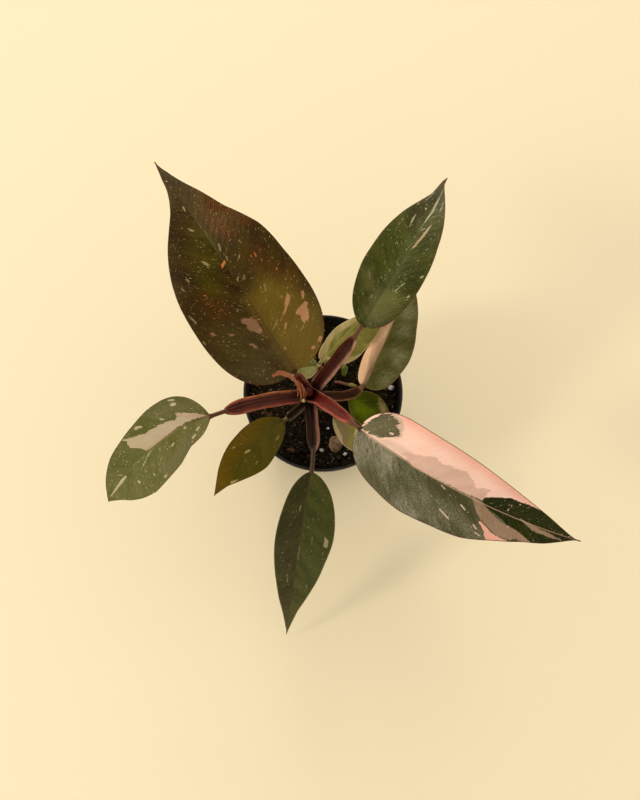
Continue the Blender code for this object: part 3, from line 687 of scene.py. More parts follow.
# Outlines of the coloured patches as the photograph shows them: how far each grows, and then x and y of
# its points, all in the photograph's pixels. Two points make a stroke.
OUTLINES = {
    "big_back_left": {
        "lit_lower_right": ((0, 290, 366, 262, 326, 247, 300, 262, 276, 290, 280, 320, 310, 330, 350, 310, 380),),
        "shaded_lower_left": ((0, 280, 372, 256, 338, 238, 318, 214, 330, 222, 360, 250, 388, 280, 396),),
        "green": ((0, 196, 222, 212, 232, 222, 252, 214, 274, 226, 292, 210, 296, 192, 276, 184, 250),),
        "blush": ((2, 204, 194, 226, 206, 252, 220, 246, 222, 222, 213, 208, 208), (0, 203, 206, 206, 222,
            226, 240, 236, 232, 216, 214)),
        "rust": ((2, 246, 246, 262, 248, 272, 262, 284, 266, 300, 284, 290, 284, 268, 268, 248, 262), (1, 202,
            292, 222, 304, 232, 318, 214, 316, 200, 302)),
        "pale": ((0, 199.4, 260.6, 206, 262, 212, 266.4, 205, 265), (0, 186, 227.5, 193, 230, 195.5, 232.3,
            190, 231), (0.9, 218.6, 244, 220.5, 251), (0.9, 186.6, 279.5, 189, 282), (0.8, 181.4, 288.5, 184,
            291), (0.8, 189, 316, 196, 323), (0.7, 203, 342, 206, 345), (0.8, 183, 207, 185, 211), (0.7,
            226.5, 256, 227, 260), (0.7, 239.5, 255, 239, 258), (0.6, 264.5, 284, 265.5, 291), (0.6, 244, 275,
            245, 279), (0.6, 273, 330, 277, 321), (0.7, 300, 331, 304, 326)),
        "orange": ((0, 224, 260, 226, 262, 224, 266, 222, 269, 221, 265), (0.7, 254.5, 252.5, 256, 256), (0.5,
            261, 259, 262, 261), (0.6, 267.5, 262, 269.5, 260.5), (0.7, 276.7, 267.5, 277, 270), (0.5, 204.5,
            295, 207.5, 297.5), (0.5, 213.5, 279, 214.5, 279.5), (0.5, 250.5, 255, 251.5, 257), (0.5, 282,
            296, 282, 298)),
        "mauve": ((0, 240.6, 319.3, 252, 317.1, 257.6, 322.2, 261.6, 328.6, 263.5, 331.4, 260, 333.7, 253.6,
            331.8, 247.3, 328.3, 245.7, 324.6, 242.5, 323), (0, 209, 332.6, 213, 332.6, 216.2, 335.7, 212,
            336.2), (0, 228, 334.2, 233, 334.2, 235.3, 335.8, 230.5, 336.5), (0, 248.9, 343.7, 253.6, 343.7,
            259.2, 347.7, 254.4, 348.5)),
        "pink": ((0, 305.5, 300.7, 307.8, 303, 307.5, 307.8, 308.6, 311, 309.4, 317.4, 307.8, 323, 305.9,
            319.5, 303.9, 323, 300.7, 319, 300.7, 315.8, 295.4, 313.4, 297.5, 309.4, 299.9, 305.5, 303,
            303.9), (0, 301.5, 291, 303.9, 290.3, 304.3, 294.3, 302.7, 299, 301.5, 296.7), (0.3, 303.9, 283,
            307, 285.5, 304.6, 284.5), (0, 287.9, 293.5, 290, 296, 289, 303, 287, 309.5, 284, 315, 280.7,
            321.4, 283, 312.7, 284.7, 306.3, 285.5, 298.3), (0, 284.7, 323, 286.8, 322.2, 286.3, 327, 285.2,
            329.4), (0, 318.2, 338, 321.4, 335.8, 322.2, 337.3, 320.6, 342, 318.7, 341.3), (0, 310.7, 347.7,
            313.4, 345.3, 315.8, 347, 312.6, 350), (0.6, 281.5, 296, 282, 298.5), (0.5, 284, 347, 286, 349)),
    },
    "back_right_high": {
        "shade": ((0, 408, 208, 424, 196, 440, 184, 446, 176, 446, 196, 438, 204, 428, 214, 418, 226, 406,
            228),),
        "band": ((0, 366, 314, 372, 296, 388, 270, 404, 244, 420, 220, 430, 214, 420, 236, 408, 262, 398, 282,
            384, 302, 374, 314),),
        "sheen_near_base": ((0, 364, 314, 368, 300, 380, 292, 396, 292, 404, 300, 396, 310, 380, 320, 368, 320), (0, 362,
            270, 372, 268, 374, 288, 364, 290)),
        "yellow": ((1, 373.7, 310.8, 388.4, 297.6, 398.7, 296.1, 406, 299.1, 403.1, 306.4, 391.3, 310.8,
            381.1, 315.2), (0, 408, 288, 424, 276, 420, 288, 410, 296)),
        "pale": ((0.1, 443.4, 188.3, 441.2, 194.9, 435.3, 203.7, 430.9, 212.5, 426.5, 218.4, 422.1, 225.7,
            428, 218.4, 433.9, 211.1, 438.3, 201.5), (0.3, 422, 226, 414, 238), (0, 417, 212.2, 413.3, 220.6,
            408.2, 229, 411.9, 218.4), (0.3, 403.1, 217.7, 396.5, 227.9), (0.15, 433.9, 192.7, 425.1, 201.5),
            (0.3, 443.4, 202.3, 439.7, 212.5), (0.45, 369.3, 271.2, 369.8, 279.3), (0.35, 378.4, 277.8, 377.4,
            285.9), (0.5, 404.5, 282.9, 394.3, 291.7), (0.9, 420.7, 277.8, 422.9, 276.3), (0.9, 407.5, 297.6,
            408.9, 296.1), (0.7, 425.7, 208, 426.3, 209), (0.7, 371.5, 295, 371, 297.5)),
        "pink": ((0, 432.4, 223.5, 427.5, 228.4, 422.5, 235, 416.3, 241.9, 410.4, 250.7, 414.3, 247.2, 419.6,
            241.8, 424.7, 235.4, 428.8, 229.6),),
    },
    "pink_front_right": {
        "silver": ((0, 352, 436, 362, 430, 376, 440, 398, 454, 390, 470, 366, 456, 356, 470, 348, 452), (1,
            386, 500, 402, 500, 416, 514, 404, 516)),
        "deep": ((0, 424, 474, 446, 484, 470, 494, 480, 518, 470, 524, 448, 500, 420, 482), (0, 360, 470, 372,
            488, 388, 500, 380, 480, 366, 462), (0, 500, 530, 560, 536, 582, 540, 540, 552, 500, 550)),
        "pink": ((0, 359, 428.5, 372, 437, 380, 442.5, 404, 458.5, 429, 473.5, 458, 487.5, 471, 495, 482, 500,
            492, 505, 560, 545, 600, 560, 600, 520, 520, 480, 400, 400, 350, 400),),
        "rose": ((0, 392, 404, 440, 434, 480, 460, 520, 492, 546, 514, 520, 500, 486, 474, 440, 445, 402,
            422),),
        "mauve": ((0, 402, 450.5, 416.5, 455, 435.7, 457.4, 441.3, 463, 451.6, 466.2, 458, 470.2, 467.6,
            471.8, 470.8, 478.1, 475.5, 482.9, 474.7, 487.7, 483.5, 488.5, 490.7, 490.9, 486.7, 493.6, 484,
            500, 470, 496, 456, 489, 442, 482, 428, 475, 412, 466, 404, 456),),
        "veil": ((0, 366, 432, 384, 438, 400, 444, 410, 452, 420, 462, 404, 458, 384, 446, 368, 437),),
        "base": ((0, 360.7, 427.1, 365.5, 419.9, 371.9, 415.1, 381.5, 412, 390.2, 413.6, 395, 417.5, 398.2,
            420.7, 399.8, 423.9, 396.6, 426.3, 399.3, 429.5, 399.8, 432.7, 399, 436.7, 392.6, 437.5, 383,
            437.8, 376.7, 437, 368.7, 433.5, 362.3, 429.5, 352, 430, 352, 405, 380, 400, 390, 408),),
        "halo": ((0, 384, 407, 402, 418, 404, 427, 402, 438, 392, 439, 394, 428, 390, 414),),
        "tip": ((0, 484.3, 497.3, 493, 497.3, 511.4, 498, 520.2, 502, 529.7, 505.2, 537.7, 508.9, 544, 511.5,
            555, 521, 567, 530, 578, 536, 600, 545, 575, 556, 500, 556, 490, 541, 531.3, 542.7, 520.2, 534,
            505.8, 524, 497, 515, 486.7, 508.4, 482, 500.4),),
        "olive": ((0, 470.7, 494.9, 477.1, 498.9, 484.3, 506, 493.1, 514.8, 499.4, 521.2, 505.8, 525.2, 513.8,
            529.1, 520.2, 533.9, 526.6, 539.5, 531.3, 542.7, 523.4, 542.7, 515.4, 538.7, 509, 540.3, 499.4,
            537.1, 493.1, 532.3, 486.7, 526, 480.3, 518.8, 475.5, 510, 473.1, 502), (0.4, 520, 519, 534,
            526.5, 548, 533.5, 562, 540.5, 548, 537, 532, 530)),
        "hot": ((0, 477.1, 520.7, 480.3, 521.5, 485.1, 526, 491.5, 533.1, 499.4, 537.9, 509, 541, 499.4,
            541.1, 495.5, 540, 489.9, 541.1, 485.9, 540.3, 483.5, 535.5, 484.3, 532.3, 481.9, 527.6),),
        "dash": ((0.7, 439.7, 509.2, 448.4, 518.8), (0.7, 460.4, 504.4, 465.2, 510), (0.6, 441.3, 485.3,
            445.2, 489.3), (0.7, 473.1, 524.4, 476.3, 529.1), (0.6, 474.7, 532.3, 480.3, 536.3), (0.5, 507.4,
            510.8, 512.2, 505.2), (0.7, 520, 504.6, 520.5, 505), (0.7, 507.4, 526.8, 508, 527), (1.0, 390,
            433.2, 393, 434)),
    },
    "left": {
        "haze": ((0, 205, 408, 190, 400, 160, 406, 150, 420, 180, 412), (0, 206, 424, 188, 450, 170, 474, 160,
            470, 176, 450, 190, 430)),
        "pink": ((0, 208.8, 415.4, 203.3, 414.5, 196.5, 413.4, 188.2, 412.8, 178.6, 412.4, 175.9, 414.5,
            177.3, 416.5, 175.2, 420, 167.7, 421.3, 160.8, 424.1, 155.3, 427.5, 149.8, 430.2, 144.4, 433.7,
            136.1, 436.4, 127.9, 438.5, 121.7, 439.8, 126.5, 441.2, 127.2, 444, 130, 447.4, 136.1, 448.1,
            142.3, 449.4, 146.4, 450.8, 149.8, 448.8, 155.3, 444.6, 162.2, 439.2, 169, 433.7, 177.3, 427.5,
            185.5, 422.7, 193.7, 419, 202, 416.8), (0, 134, 428.9, 136.1, 426.1, 139.6, 425, 142.3, 425.9,
            140.9, 428.2, 136.8, 429.6, 134.8, 430.9)),
        "magenta": ((0.8, 210, 416, 200, 416.5, 186, 416.5, 196, 414.5), (0.2, 193, 419.5, 170, 433, 150,
            448), (0.8, 176, 413.5, 182, 414.5)),
        "pale": ((0, 169, 405.6, 171.8, 402.6, 175.9, 402.6, 175.9, 404.9, 172.5, 406.7), (0.8, 168, 400.5,
            174, 399.8), (0.8, 160.1, 419.3, 163.6, 419.6), (0.3, 125.4, 475.8, 126.3, 477.1, 121.7, 483,
            115.6, 490.6, 110.4, 496.7, 115.6, 488.5, 120.4, 481), (0.5, 149.2, 452.9, 142.3, 467.3), (0.8,
            196.5, 430, 199, 427), (0.8, 192.5, 438, 195.5, 434.5), (0.7, 172, 446, 174, 443), (0.8, 184,
            428.5, 185.5, 427), (0.8, 154, 473.5, 154.8, 476), (0.8, 138.5, 481, 139.5, 483), (0.8, 165, 477,
            166.5, 475)),
    },
    "olive_front_left": {
        "rust": ((0, 214, 498, 206, 486, 216, 462, 226, 470, 228, 484), (0, 216, 464, 236, 434, 264, 414, 262,
            420, 240, 440, 224, 466)),
        "pale": ((0, 244, 453, 247, 450, 251.5, 449, 250, 451, 246, 453.5), (0.7, 232.5, 448, 235, 447), (0.3,
            230, 482, 238, 479.5, 232, 484), (0.5, 256, 464, 258, 461), (0.5, 276, 440, 279, 436), (0.4, 240,
            436, 242, 434.5)),
    },
    "front": {
        "pale": ((0.4, 325, 537, 328, 541, 327, 548, 324, 546), (0.4, 312.5, 537, 311.5, 545), (0.4, 299.5,
            547, 297.5, 560), (0.5, 323.5, 551, 322.5, 554), (0.3, 301, 505, 299.5, 511), (0.3, 318, 516,
            318.5, 522), (0.3, 287, 575, 287.5, 582)),
    },
    "right_low": {
        "cream": ((0, 362, 388, 354, 376, 356, 362, 362, 346, 372, 334, 376, 336, 371, 350, 367, 366, 364,
            380),),
        "dull_and_shadow": ((0, 362, 350, 366, 340, 374, 326, 388, 312, 396, 312, 390, 322, 380, 338, 374, 344),),
        "crease": ((0, 364, 386, 366, 376, 370, 362, 375, 350, 381, 338, 384, 338, 378, 352, 374, 364, 369,
            378),),
        "cloud": ((1, 394, 350, 404, 352, 402, 366, 394, 364), (1, 400, 324, 410, 326, 408, 336, 398, 334),
            (1, 384, 374, 392, 376, 388, 386, 380, 384), (1, 392, 302, 412, 300, 414, 316, 404, 318)),
    },
    "light_back": {
        "cream": ((0, 312, 372, 316, 352, 322, 338, 332, 326, 350, 314, 362, 314, 356, 322, 346, 328, 336,
            334, 330, 343, 327, 355, 322, 368), (0, 326, 356, 340, 360, 362, 354, 360, 364, 330, 366)),
    },
    "young_bright": {
        "lime": ((0, 352, 398, 366, 404, 374, 412, 366, 420, 354, 412),),
        "cream": ((0, 379, 398, 386, 406, 386, 414, 381, 411, 378, 404),),
    },
    "young_cream": {
        "cream": ((0, 326, 414, 332, 414, 336, 424, 342, 436, 344, 448, 334, 444, 326, 428), (0, 355, 422,
            360, 430, 357, 444, 353, 436)),
        "green": ((0, 348, 418, 356, 424, 354, 436, 352, 446, 347, 446, 350, 434),),
    },
}

# Colours of a petiole: its left wing seen from the stem, its channel, its right wing, outside and neck.
PETIOLE_COLOURS = {
    # The right wings of back_right_high and left and the left wing of front are their own colour lightened by
    # a painted highlight.
    "big_back_left": ((118, 44, 34), (84, 14, 14), (136, 92, 64), (84, 38, 26), (84, 44, 26)),
    "back_right_high": ((112, 56, 32), (76, 24, 14), (190, 140, 114), (96, 54, 34), (98, 66, 42)),
    "pink_front_right": ((150, 78, 56), (104, 28, 20), (172, 84, 66), (128, 84, 56), (88, 48, 28)),
    "left": ((122, 56, 36), (80, 22, 12), (212, 126, 72), (88, 38, 24), (84, 46, 26)),
    "front": ((146, 100, 76), (34, 10, 6), (60, 30, 20), (56, 30, 20), (64, 44, 30)),
    "right_low": ((100, 64, 34), (76, 42, 18), (112, 76, 46), (80, 52, 26), (120, 84, 54)),
    "olive_front_left": ((78, 62, 28), (46, 32, 10), (70, 52, 22), (58, 46, 18), (98, 86, 44)),
    "light_back": ((140, 104, 66), (112, 78, 46), (150, 112, 72), (110, 86, 48), (144, 132, 78)),
    "light_small": ((160, 114, 84), (124, 82, 56), (158, 110, 80), (116, 86, 50), (144, 132, 78)),
    "young_bright": ((104, 98, 40), (74, 70, 26), (108, 100, 44), (82, 80, 30), (98, 112, 34)),
    "young_cream": ((122, 102, 58), (90, 74, 40), (122, 104, 60), (88, 76, 38), (132, 122, 68)),
}

# Pale flecks on a blade: shift and scale of the pattern, share of its cells that hold one for each unit of
# a look's flecks, the smallest and largest radius, and the weakest and strongest tone.
FLECKS = (
    ((3, 11, 0), (0.85, 0.40, 1), 1.3, 0.09, 0.22, 0.45, 1.0),
    ((23, 17, 0), (1.20, 0.65, 1), 0.7, 0.14, 0.30, 0.20, 0.7),
    ((61, 5, 0), (2.00, 1.20, 1), 0.5, 0.16, 0.36, 0.10, 0.4),
    ((40, 7, 0), (0.30, 0.10, 1), 0.7, 0.04, 0.11, 0.45, 0.9),
)
UNDERSIDE = (112, 92, 62)     # mixed into a blade's colours on its lower face

# The slots of the blades that aren't blade_green.
BLADE_SLOTS = {
    "big_back_left": "blade_olive", "olive_front_left": "blade_olive", "back_right_high": "blade_dark_green",
    "front": "blade_dark_green", "right_low": "blade_dark_green", "pink_front_right": "blade_pink",
    "young_bright": "blade_bright", "young_cream": "blade_cream",
}


def blade_shading(name, look):
    """Dark and coloured layers and a painted sheen, streaked along the side veins, with rib, margin and
    underside.
    """
    s = new_shading("leaf " + name)
    grain = s.attribute("grain", "Vector")
    vein = s.parts(grain)[0]
    across, margin = s.parts(s.attribute("place", "Vector"))[1:]
    reach = s.math("ABSOLUTE", across)
    cloud = s.step(s.noise(s.stretch(grain, (0.075, 0.05, 0)), 1, 3, 0.6), 0.32, 0.68)
    streak = s.noise(s.stretch(grain, (1.1, 0.16, 0)), 1, 3, 0.6)
    hatch = s.noise(s.stretch(grain, (2.3, 0.30, 0)), 1, 2, 0.6)
    dust = s.noise(s.stretch(grain, (4.2, 1.3, 0)), 1, 2, 0.7)
    tear = (streak - 0.5) * 4.0
    on_left = s.step(across, -0.5, 0.5)
    tone = cloud * 0.65 + s.step(hatch, 0.25, 0.75) * 0.35
    right = s.mix(tone, look.right_dark, look.right_light)
    colour = s.mix(on_left, right, s.mix(tone, look.left_dark, look.left_light))
    # A painted sheen, streaked along the veins.
    share = on_left * (look.silver_left - look.silver_right) + look.silver_right
    silvery_sheen = s.step(dust + hatch * 0.22, 0.56, 0.72) * (share * (cloud * 0.7 + 0.3))
    colour = s.mix(silvery_sheen * 1.7, colour, look.silver)
    for layer in look.layers:
        mask = s.step(s.attribute(layer.name) + tear * layer.ragged, -layer.soft, layer.soft)
        if layer.cover < 1:
            gaps = 0.30 + 0.40 * (1 - layer.cover)
            mask = mask * s.step(hatch, gaps - 0.06, gaps + 0.02)
        if layer.dots:
            mask = mask * s.specks(grain, (1.5, 0.8, 1), layer.dots, 0.14, 0.42)[0]
        colour = s.mix(mask * layer.strength, colour, s.mix(tone, layer.colour, layer.second))
    line = s.math("PINGPONG", vein * (1 / VEIN_SPACING), 0.5)
    thin_line = s.math("PINGPONG", vein * (5 / VEIN_SPACING), 0.5)
    lines = s.step(line, 0.07, 0.01) * 0.07 + s.step(thin_line, 0.16, 0.02) * 0.03
    colour = s.mix(lines * s.step(reach, 0.3, 3), colour, look.silver)
    cluster = s.step(s.noise(s.stretch(s.shift(grain, (9, 4, 0)), (0.10, 0.07, 0)), 1, 1), 0.34, 0.60)
    for shift, scale, spots, small, large, least, most in FLECKS:
        mask, speck_tone = s.specks(s.shift(grain, shift), scale, look.flecks * spots, small, large)
        strength = speck_tone * (most - least) + least
        colour = s.mix(mask * (cluster * 0.65 + 0.35) * strength, colour, look.fleck)
    rib = s.step(reach, 0.46, 0.12) * s.step(s.attribute("share"), look.rib_reach, look.rib_reach - 0.4)
    colour = s.mix(rib * 0.6, colour, look.rib)
    colour = s.mix(s.step(margin + hatch * 0.3, 0.8, 0.4) * 0.85, colour, look.margin)
    upper = s.attribute("upper")
    # Rougher at the margin and on the underside.
    dull_and_shadow = s.math("MAXIMUM", s.step(margin, 0.8, 0.3) * 0.45, (1.0 - upper) * 0.2)
    return s.finish(
        hatch * 0.7 + dust * 0.3, 0.00014, 0.6,
        Base_Color=s.mix(upper, s.mix(0.45, colour, UNDERSIDE), colour),
        Roughness=hatch * 0.12 + (look.gloss - 0.12) + dull_and_shadow,
        Specular_IOR_Level=0.22, Specular_Tint=(1.0, 0.84, 0.5, 1),
        Subsurface_Weight=0.04, Subsurface_Radius=(1.0, 0.7, 0.3), Subsurface_Scale=MM)


# Petioles

def share_of(value, low, high):
    """How far a value has come from low to high, no less than 0 and no more than 1."""
    return min(max((value - low) / (high - low), 0), 1)


def stem_at(height):
    """The stem's axis and radius at a height."""
    share = share_of(height, SOIL_TOP, STEM_TOP)
    axis = [a + (b - a) * share for a, b in zip(STEM_FOOT, STEM_HEAD)]
    return axis, STEM_RADIUS + (STEM_HEAD_RADIUS - STEM_RADIUS) * share


def petiole_path(petiole, leaf, shares, inset):
    """A curve and its directions, from inside the stem's side to the blade's base, nearly in line with it."""
    axis, radius = stem_at(petiole.height)
    a = np.array([*axis, petiole.height]) + direction(petiole.azimuth, 0.0) * (radius - inset)
    last = direction(leaf.heading, leaf.rise)
    d = np.array(leaf.base, float) + last * PETIOLE_END
    far = np.linalg.norm(d - a)
    b = a + direction(petiole.azimuth, petiole.rise) * far * PETIOLE_PULL
    c = d - last * far * petiole.arrive
    t = shares[:, None]
    path = a * (1 - t) ** 3 + 3 * b * t * (1 - t) ** 2 + 3 * c * t ** 2 * (1 - t) + d * t ** 3
    return path, unit(3 * (b - a) * (1 - t) ** 2 + 6 * (c - b) * t * (1 - t) + 3 * (d - c) * t ** 2)


def petiole_section(width, depth, shut):
    """A winged gutter open at the top, or a round stalk as shut goes to 1, and each point's place across."""
    turn = np.linspace(1, -1, RING_HALF)
    across = np.sin(turn * math.pi / 2)
    deep = np.cos(turn * math.pi / 2)
    lift = WING_FLARE * (1 - shut) * np.abs(turn) ** 5
    outer = np.stack([across * width / 2, -depth * deep ** 0.8 + lift], axis=-1)
    hollow = -depth * 0.74 * (1 - np.abs(across) ** 1.45)
    closed = depth * 0.95 * deep
    inside = width / 2 - WING_EDGE * (1 - shut)
    inner = np.stack([across * inside, hollow + (closed - hollow) * shut + lift * 1.15], axis=-1)
    ring = np.concatenate([outer, inner[::-1][1:-1]])
    place = np.concatenate([turn, turn[::-1][1:-1]])
    return ring, place, np.repeat([0.0, 1.0], [RING_HALF, RING_HALF - 2])


def petiole_shading(name, colours, red, lean):
    """Streaked wings of two colours either side of a dark channel, and a plain neck."""
    s = new_shading("petiole " + name)
    left, channel, right, outside, neck = colours
    turn, inward, share = s.parts(s.attribute("ring", "Vector"))
    along = s.attribute("along")
    lengthwise = s.join(turn * 3.2, along * 0.06, inward)
    streak = s.noise(lengthwise, 1, 4, 0.65)
    thread = s.noise(s.stretch(lengthwise, (3.2, 2.4, 1)), 1, 2, 0.6)
    patch = s.noise(s.join(turn * 0.8, along * 0.16, inward), 1, 3, 0.6)
    wing = s.math("ABSOLUTE", turn)
    winged = s.mix(s.step(turn, -0.1, 0.1), right, left)
    torn = wing + turn * lean + (streak - 0.5) * 0.3
    inner = s.mix(s.step(torn, 0.30, 0.74), channel, winged)
    colour = s.mix(inward, s.mix(s.step(torn, 0.60, 0.98), outside, winged), inner)
    colour = s.mix(s.step(patch, 0.52, 0.34), colour, s.darker(colour, (0.62, 0.52, 0.50)))
    # Painted shade darkens each petiole towards the stem, where the sheaths crowd together.
    colour = s.mix(s.step(share, 0.20, 0.04), colour, s.darker(colour, (0.34, 0.22, 0.20)))
    # Painted highlights along the wings' edges.
    edge = s.step(wing, 0.94, 0.99) * s.step(share, 0.1, 0.3)
    colour = s.mix(edge, colour, s.mix(0.3, winged, (206, 150, 110)))
    colour = s.mix(s.step(s.attribute("shut"), 0.30, 0.92), colour, neck)
    colour = s.mix(s.step(thread, 0.38, 0.60), s.darker(colour, (0.76, 0.66, 0.62)), colour)
    # Pale streaks along the length: a painted highlight on the channel's folds.
    ridge_highlight = s.step(s.math("PINGPONG", turn * 3.0 + streak * 1.2, 0.5), 0.16, 0.02) * 0.14
    colour = s.mix(ridge_highlight * s.step(share, 0.1, 0.4), colour, s.mix(0.35, winged, (214, 150, 120)))
    dots, tone = s.specks(s.join(turn * 5, along, inward), (1.0, 0.42, 1), 0.22, 0.07, 0.18)
    colour = s.mix(dots * (tone * 0.6), colour, (214, 160, 126) if red else (180, 168, 108))
    return s.finish(
        streak + thread * 0.5, 0.0003, 0.5,
        Base_Color=colour, Roughness=streak * 0.20 + 0.30,
        Specular_IOR_Level=0.25, Specular_Tint=(1.0, 0.8, 0.6, 1),
        Subsurface_Weight=0.1, Subsurface_Radius=(1.0, 0.35, 0.2), Subsurface_Scale=MM)


def make_petiole(petiole):
    """A winged sheath that narrows into a round neck, with the marks that its colours follow."""
    name = petiole.leaf
    leaf = next(item for item in LEAVES if item.name == name)
    foot = (FOOT_INSET, petiole.width * FOOT_SHARE, petiole.depth * FOOT_SHARE)
    inset, foot_width, foot_depth = FEET.get(name, foot)
    shares = np.linspace(0, 1, PETIOLE_ROWS)
    path, along = petiole_path(petiole, leaf, shares, inset)
    length = np.concatenate([[0], np.cumsum(np.linalg.norm(np.diff(path, axis=0), axis=1))])
    sheath_end = 1 - petiole.neck
    points, ring_marks, along_marks, shut_marks = [], [], [], []
    for share, place, ahead, far in zip(shares, path, along, length):
        side = unit(np.cross(np.array([0, 0, 1.0]), ahead))
        up = np.cross(ahead, side)
        spread = share_of(share, 0, 0.30)
        spread *= 2 - spread
        near_end = share_of(share, sheath_end - TAPERS.get(name, TAPER), sheath_end)
        taper = (1 - near_end ** 2.2) ** 0.75
        shut = share_of(near_end, 0.55, 1) ** 1.5
        wide = foot_width + (petiole.width - foot_width) * spread
        deep = foot_depth + (petiole.depth - foot_depth) * spread
        stalk = NECK_DIAMETER * (0.80 + 0.22 * share_of(share, 0.97, 1))
        width = (stalk + (wide - stalk) * taper) * (1 + 0.03 * math.sin(far / 3.1 + petiole.azimuth) * taper)
        depth = stalk / 2 + (deep - stalk / 2) * taper
        ring, turn, inward = petiole_section(width, depth, shut)
        points.append(place + ring[:, :1] * side + ring[:, 1:] * up)
        ring_marks.append(np.stack([turn, inward, 0 * turn + share], axis=-1))
        along_marks.append(0 * turn + far)
        shut_marks.append(0 * turn + shut)
    marks = {"ring": ring_marks, "along": along_marks, "shut": shut_marks}
    red = name in RED_PETIOLES
    material = petiole_shading(name, PETIOLE_COLOURS[name], red, LEANS.get(name, 0))
    faces = ring_faces(PETIOLE_ROWS, len(turn))
    solid("stalk_" + name, np.concatenate(points), faces, ["petiole_" + name],
          "petiole_red" if red else "petiole_brown", material,
          {key: np.concatenate(values) for key, values in marks.items()})


# Pot, soil and what lies on it

def wall_radius(height):
    """The pot's outer radius below its rim."""
    under_rim = RIM_DIAMETER / 2 - RIM_STEP
    return BASE_DIAMETER / 2 + (under_rim - BASE_DIAMETER / 2) * height / (POT_HEIGHT - RIM_HEIGHT)


def pot_shading():
    """Black moulded plastic: faint flow lines round the wall, scuffs, and dust that clings near the rim."""
    s = new_shading("black plastic")
    place = s.object_mm()
    height = s.parts(place)[2]
    mottle = s.noise(place, 0.09, 4, 0.6)
    rings = s.noise(s.join(0.0, 0.0, height * 1.6), 1, 3, 0.7)
    scratch = s.step(s.noise(s.stretch(place, (0.9, 0.9, 0.05)), 1, 3, 0.7), 0.66, 0.74)
    dusty = s.step(s.noise(place, 1.3, 3, 0.7), 0.58, 0.74) * (s.step(height, 70, 86) * 0.5 + 0.12)
    colour = s.mix(mottle, (18, 15, 11), (30, 26, 21))
    colour = s.mix(scratch * 0.22, colour, (84, 82, 78))
    return s.finish(
        s.noise(place, 3.2, 2, 0.6) * 0.5 + rings * 0.6, 0.00006, 0.5,
        Base_Color=s.mix(dusty, colour, (70, 58, 44)),
        Roughness=mottle * 0.16 + 0.30 + s.math("MAXIMUM", scratch, dusty) * 0.22,
        Specular_IOR_Level=0.4, Specular_Tint=(1.0, 0.9, 0.76, 1))


def make_pot():
    """The CAD pot's own sizes with a rolled lip, a foot ring and rounded edges."""
    rim = RIM_DIAMETER / 2
    shoulder = POT_HEIGHT - RIM_HEIGHT
    inner = wall_radius(shoulder) - WALL
    base = wall_radius(0)
    profile = [(0, 0.5), (base - 6.5, 0.5), (base - 6.0, 0), (base - 1.2, 0), (base - 0.5, 0.2), (base, 0.9)]
    profile += [(wall_radius(h), h) for h in np.linspace(2, shoulder - 0.6, 24)]
    profile += [(wall_radius(shoulder) + 0.1, shoulder - 0.1), (rim - 0.5, shoulder + 0.5),
                (rim - 0.1, shoulder + 0.9), (rim, shoulder + 1.5), (rim, POT_HEIGHT - 1.1)]
    profile += [(rim - LIP + LIP * math.cos(a), POT_HEIGHT - LIP + LIP * math.sin(a))
                for a in np.linspace(0, math.pi, 9)]
    profile += [(rim - 1.75, POT_HEIGHT - 2.0), (inner + 0.1, shoulder + 0.5)]
    profile += [(wall_radius(h) - WALL, h) for h in np.linspace(shoulder - 1, FLOOR + 1, 20)]
    profile += [(wall_radius(FLOOR) - WALL - 1, FLOOR), (0, FLOOR)]
    pot = solid("nursery_pot", *lathe(profile, POT_SIDES), ["pot"], "pot", pot_shading(), smooth=42)
    radius = DRAIN_DIAMETER / 2
    drill, drill_faces = lathe([(0, -1), (radius, -1), (radius, FLOOR + 1), (0, FLOOR + 1)], 40)
    points, faces = [], []
    for k in range(DRAIN_HOLES):
        centre = DRAIN_CIRCLE * direction(360 * (k + 0.5) / DRAIN_HOLES, 0)
        faces += [tuple(len(points) + i for i in face) for face in drill_faces]
        points += [centre + point for point in drill]
    tool = bpy.data.objects.new("drill", closed_mesh("drill", points, faces))
    bpy.context.collection.objects.link(tool)
    step = pot.modifiers.new("drain holes", "BOOLEAN")
    step.operation = "DIFFERENCE"
    step.object = tool
    bpy.context.view_layer.update()
    drilled = bpy.data.meshes.new_from_object(pot.evaluated_get(bpy.context.evaluated_depsgraph_get()))
    pot.modifiers.clear()
    pot.data = drilled
    bpy.data.objects.remove(tool, do_unlink=True)


SOIL_TINTS = ((9, 6, 2), (24, 17, 7), (66, 48, 22), (32, 34, 11))
FLAKE_TINTS = ((112, 98, 44), (150, 126, 66), (196, 168, 112), (98, 102, 42))
BARK_TINTS = ((46, 30, 16), (78, 54, 32), (112, 84, 54), (60, 44, 28))
NUGGET_TINTS = ((104, 74, 52), (142, 110, 82), (180, 142, 112), (122, 90, 66))
PERLITE_TINTS = ((196, 190, 172), (226, 222, 208), (240, 238, 228), (206, 198, 176))

# Place and size of the pieces that are in the CAD.
BARK_NUGGET = (8.3, -33.3)
WHITE_GRAINS = ((3.3, -22.6, 1.0), (-0.7, -37.3, 1.4), (14.5, -39.9, 1.3), (45.5, 4.4, 2.0))
BARK_CHIPS = ((-21.0, -38.0, 3.2), (-8.0, -41.5, 2.6), (-36.0, -14.0, 2.8))


def soil_wave(x, y):
    """How far the CAD soil's surface is above SOIL_TOP at a place."""
    slow = math.sin(x / 13 + 0.6) * math.cos(y / 11 - 0.4)
    quick = 0.4 * math.sin(x / 5.1 - y / 6.3)
    return SOIL_RIPPLE * (slow + quick)


def soil_height(x, y):
    """The drawn surface: the CAD soil's with crumbs and small pits."""
    place = Vector((x / 4.2, y / 4.2, 0.3))
    crumbs = noise.noise(place) * 1.3 + noise.noise(place * 2.7) * 0.75 + noise.noise(place * 6.5) * 0.35
    return SOIL_TOP + soil_wave(x, y) + SOIL_LIFT + crumbs


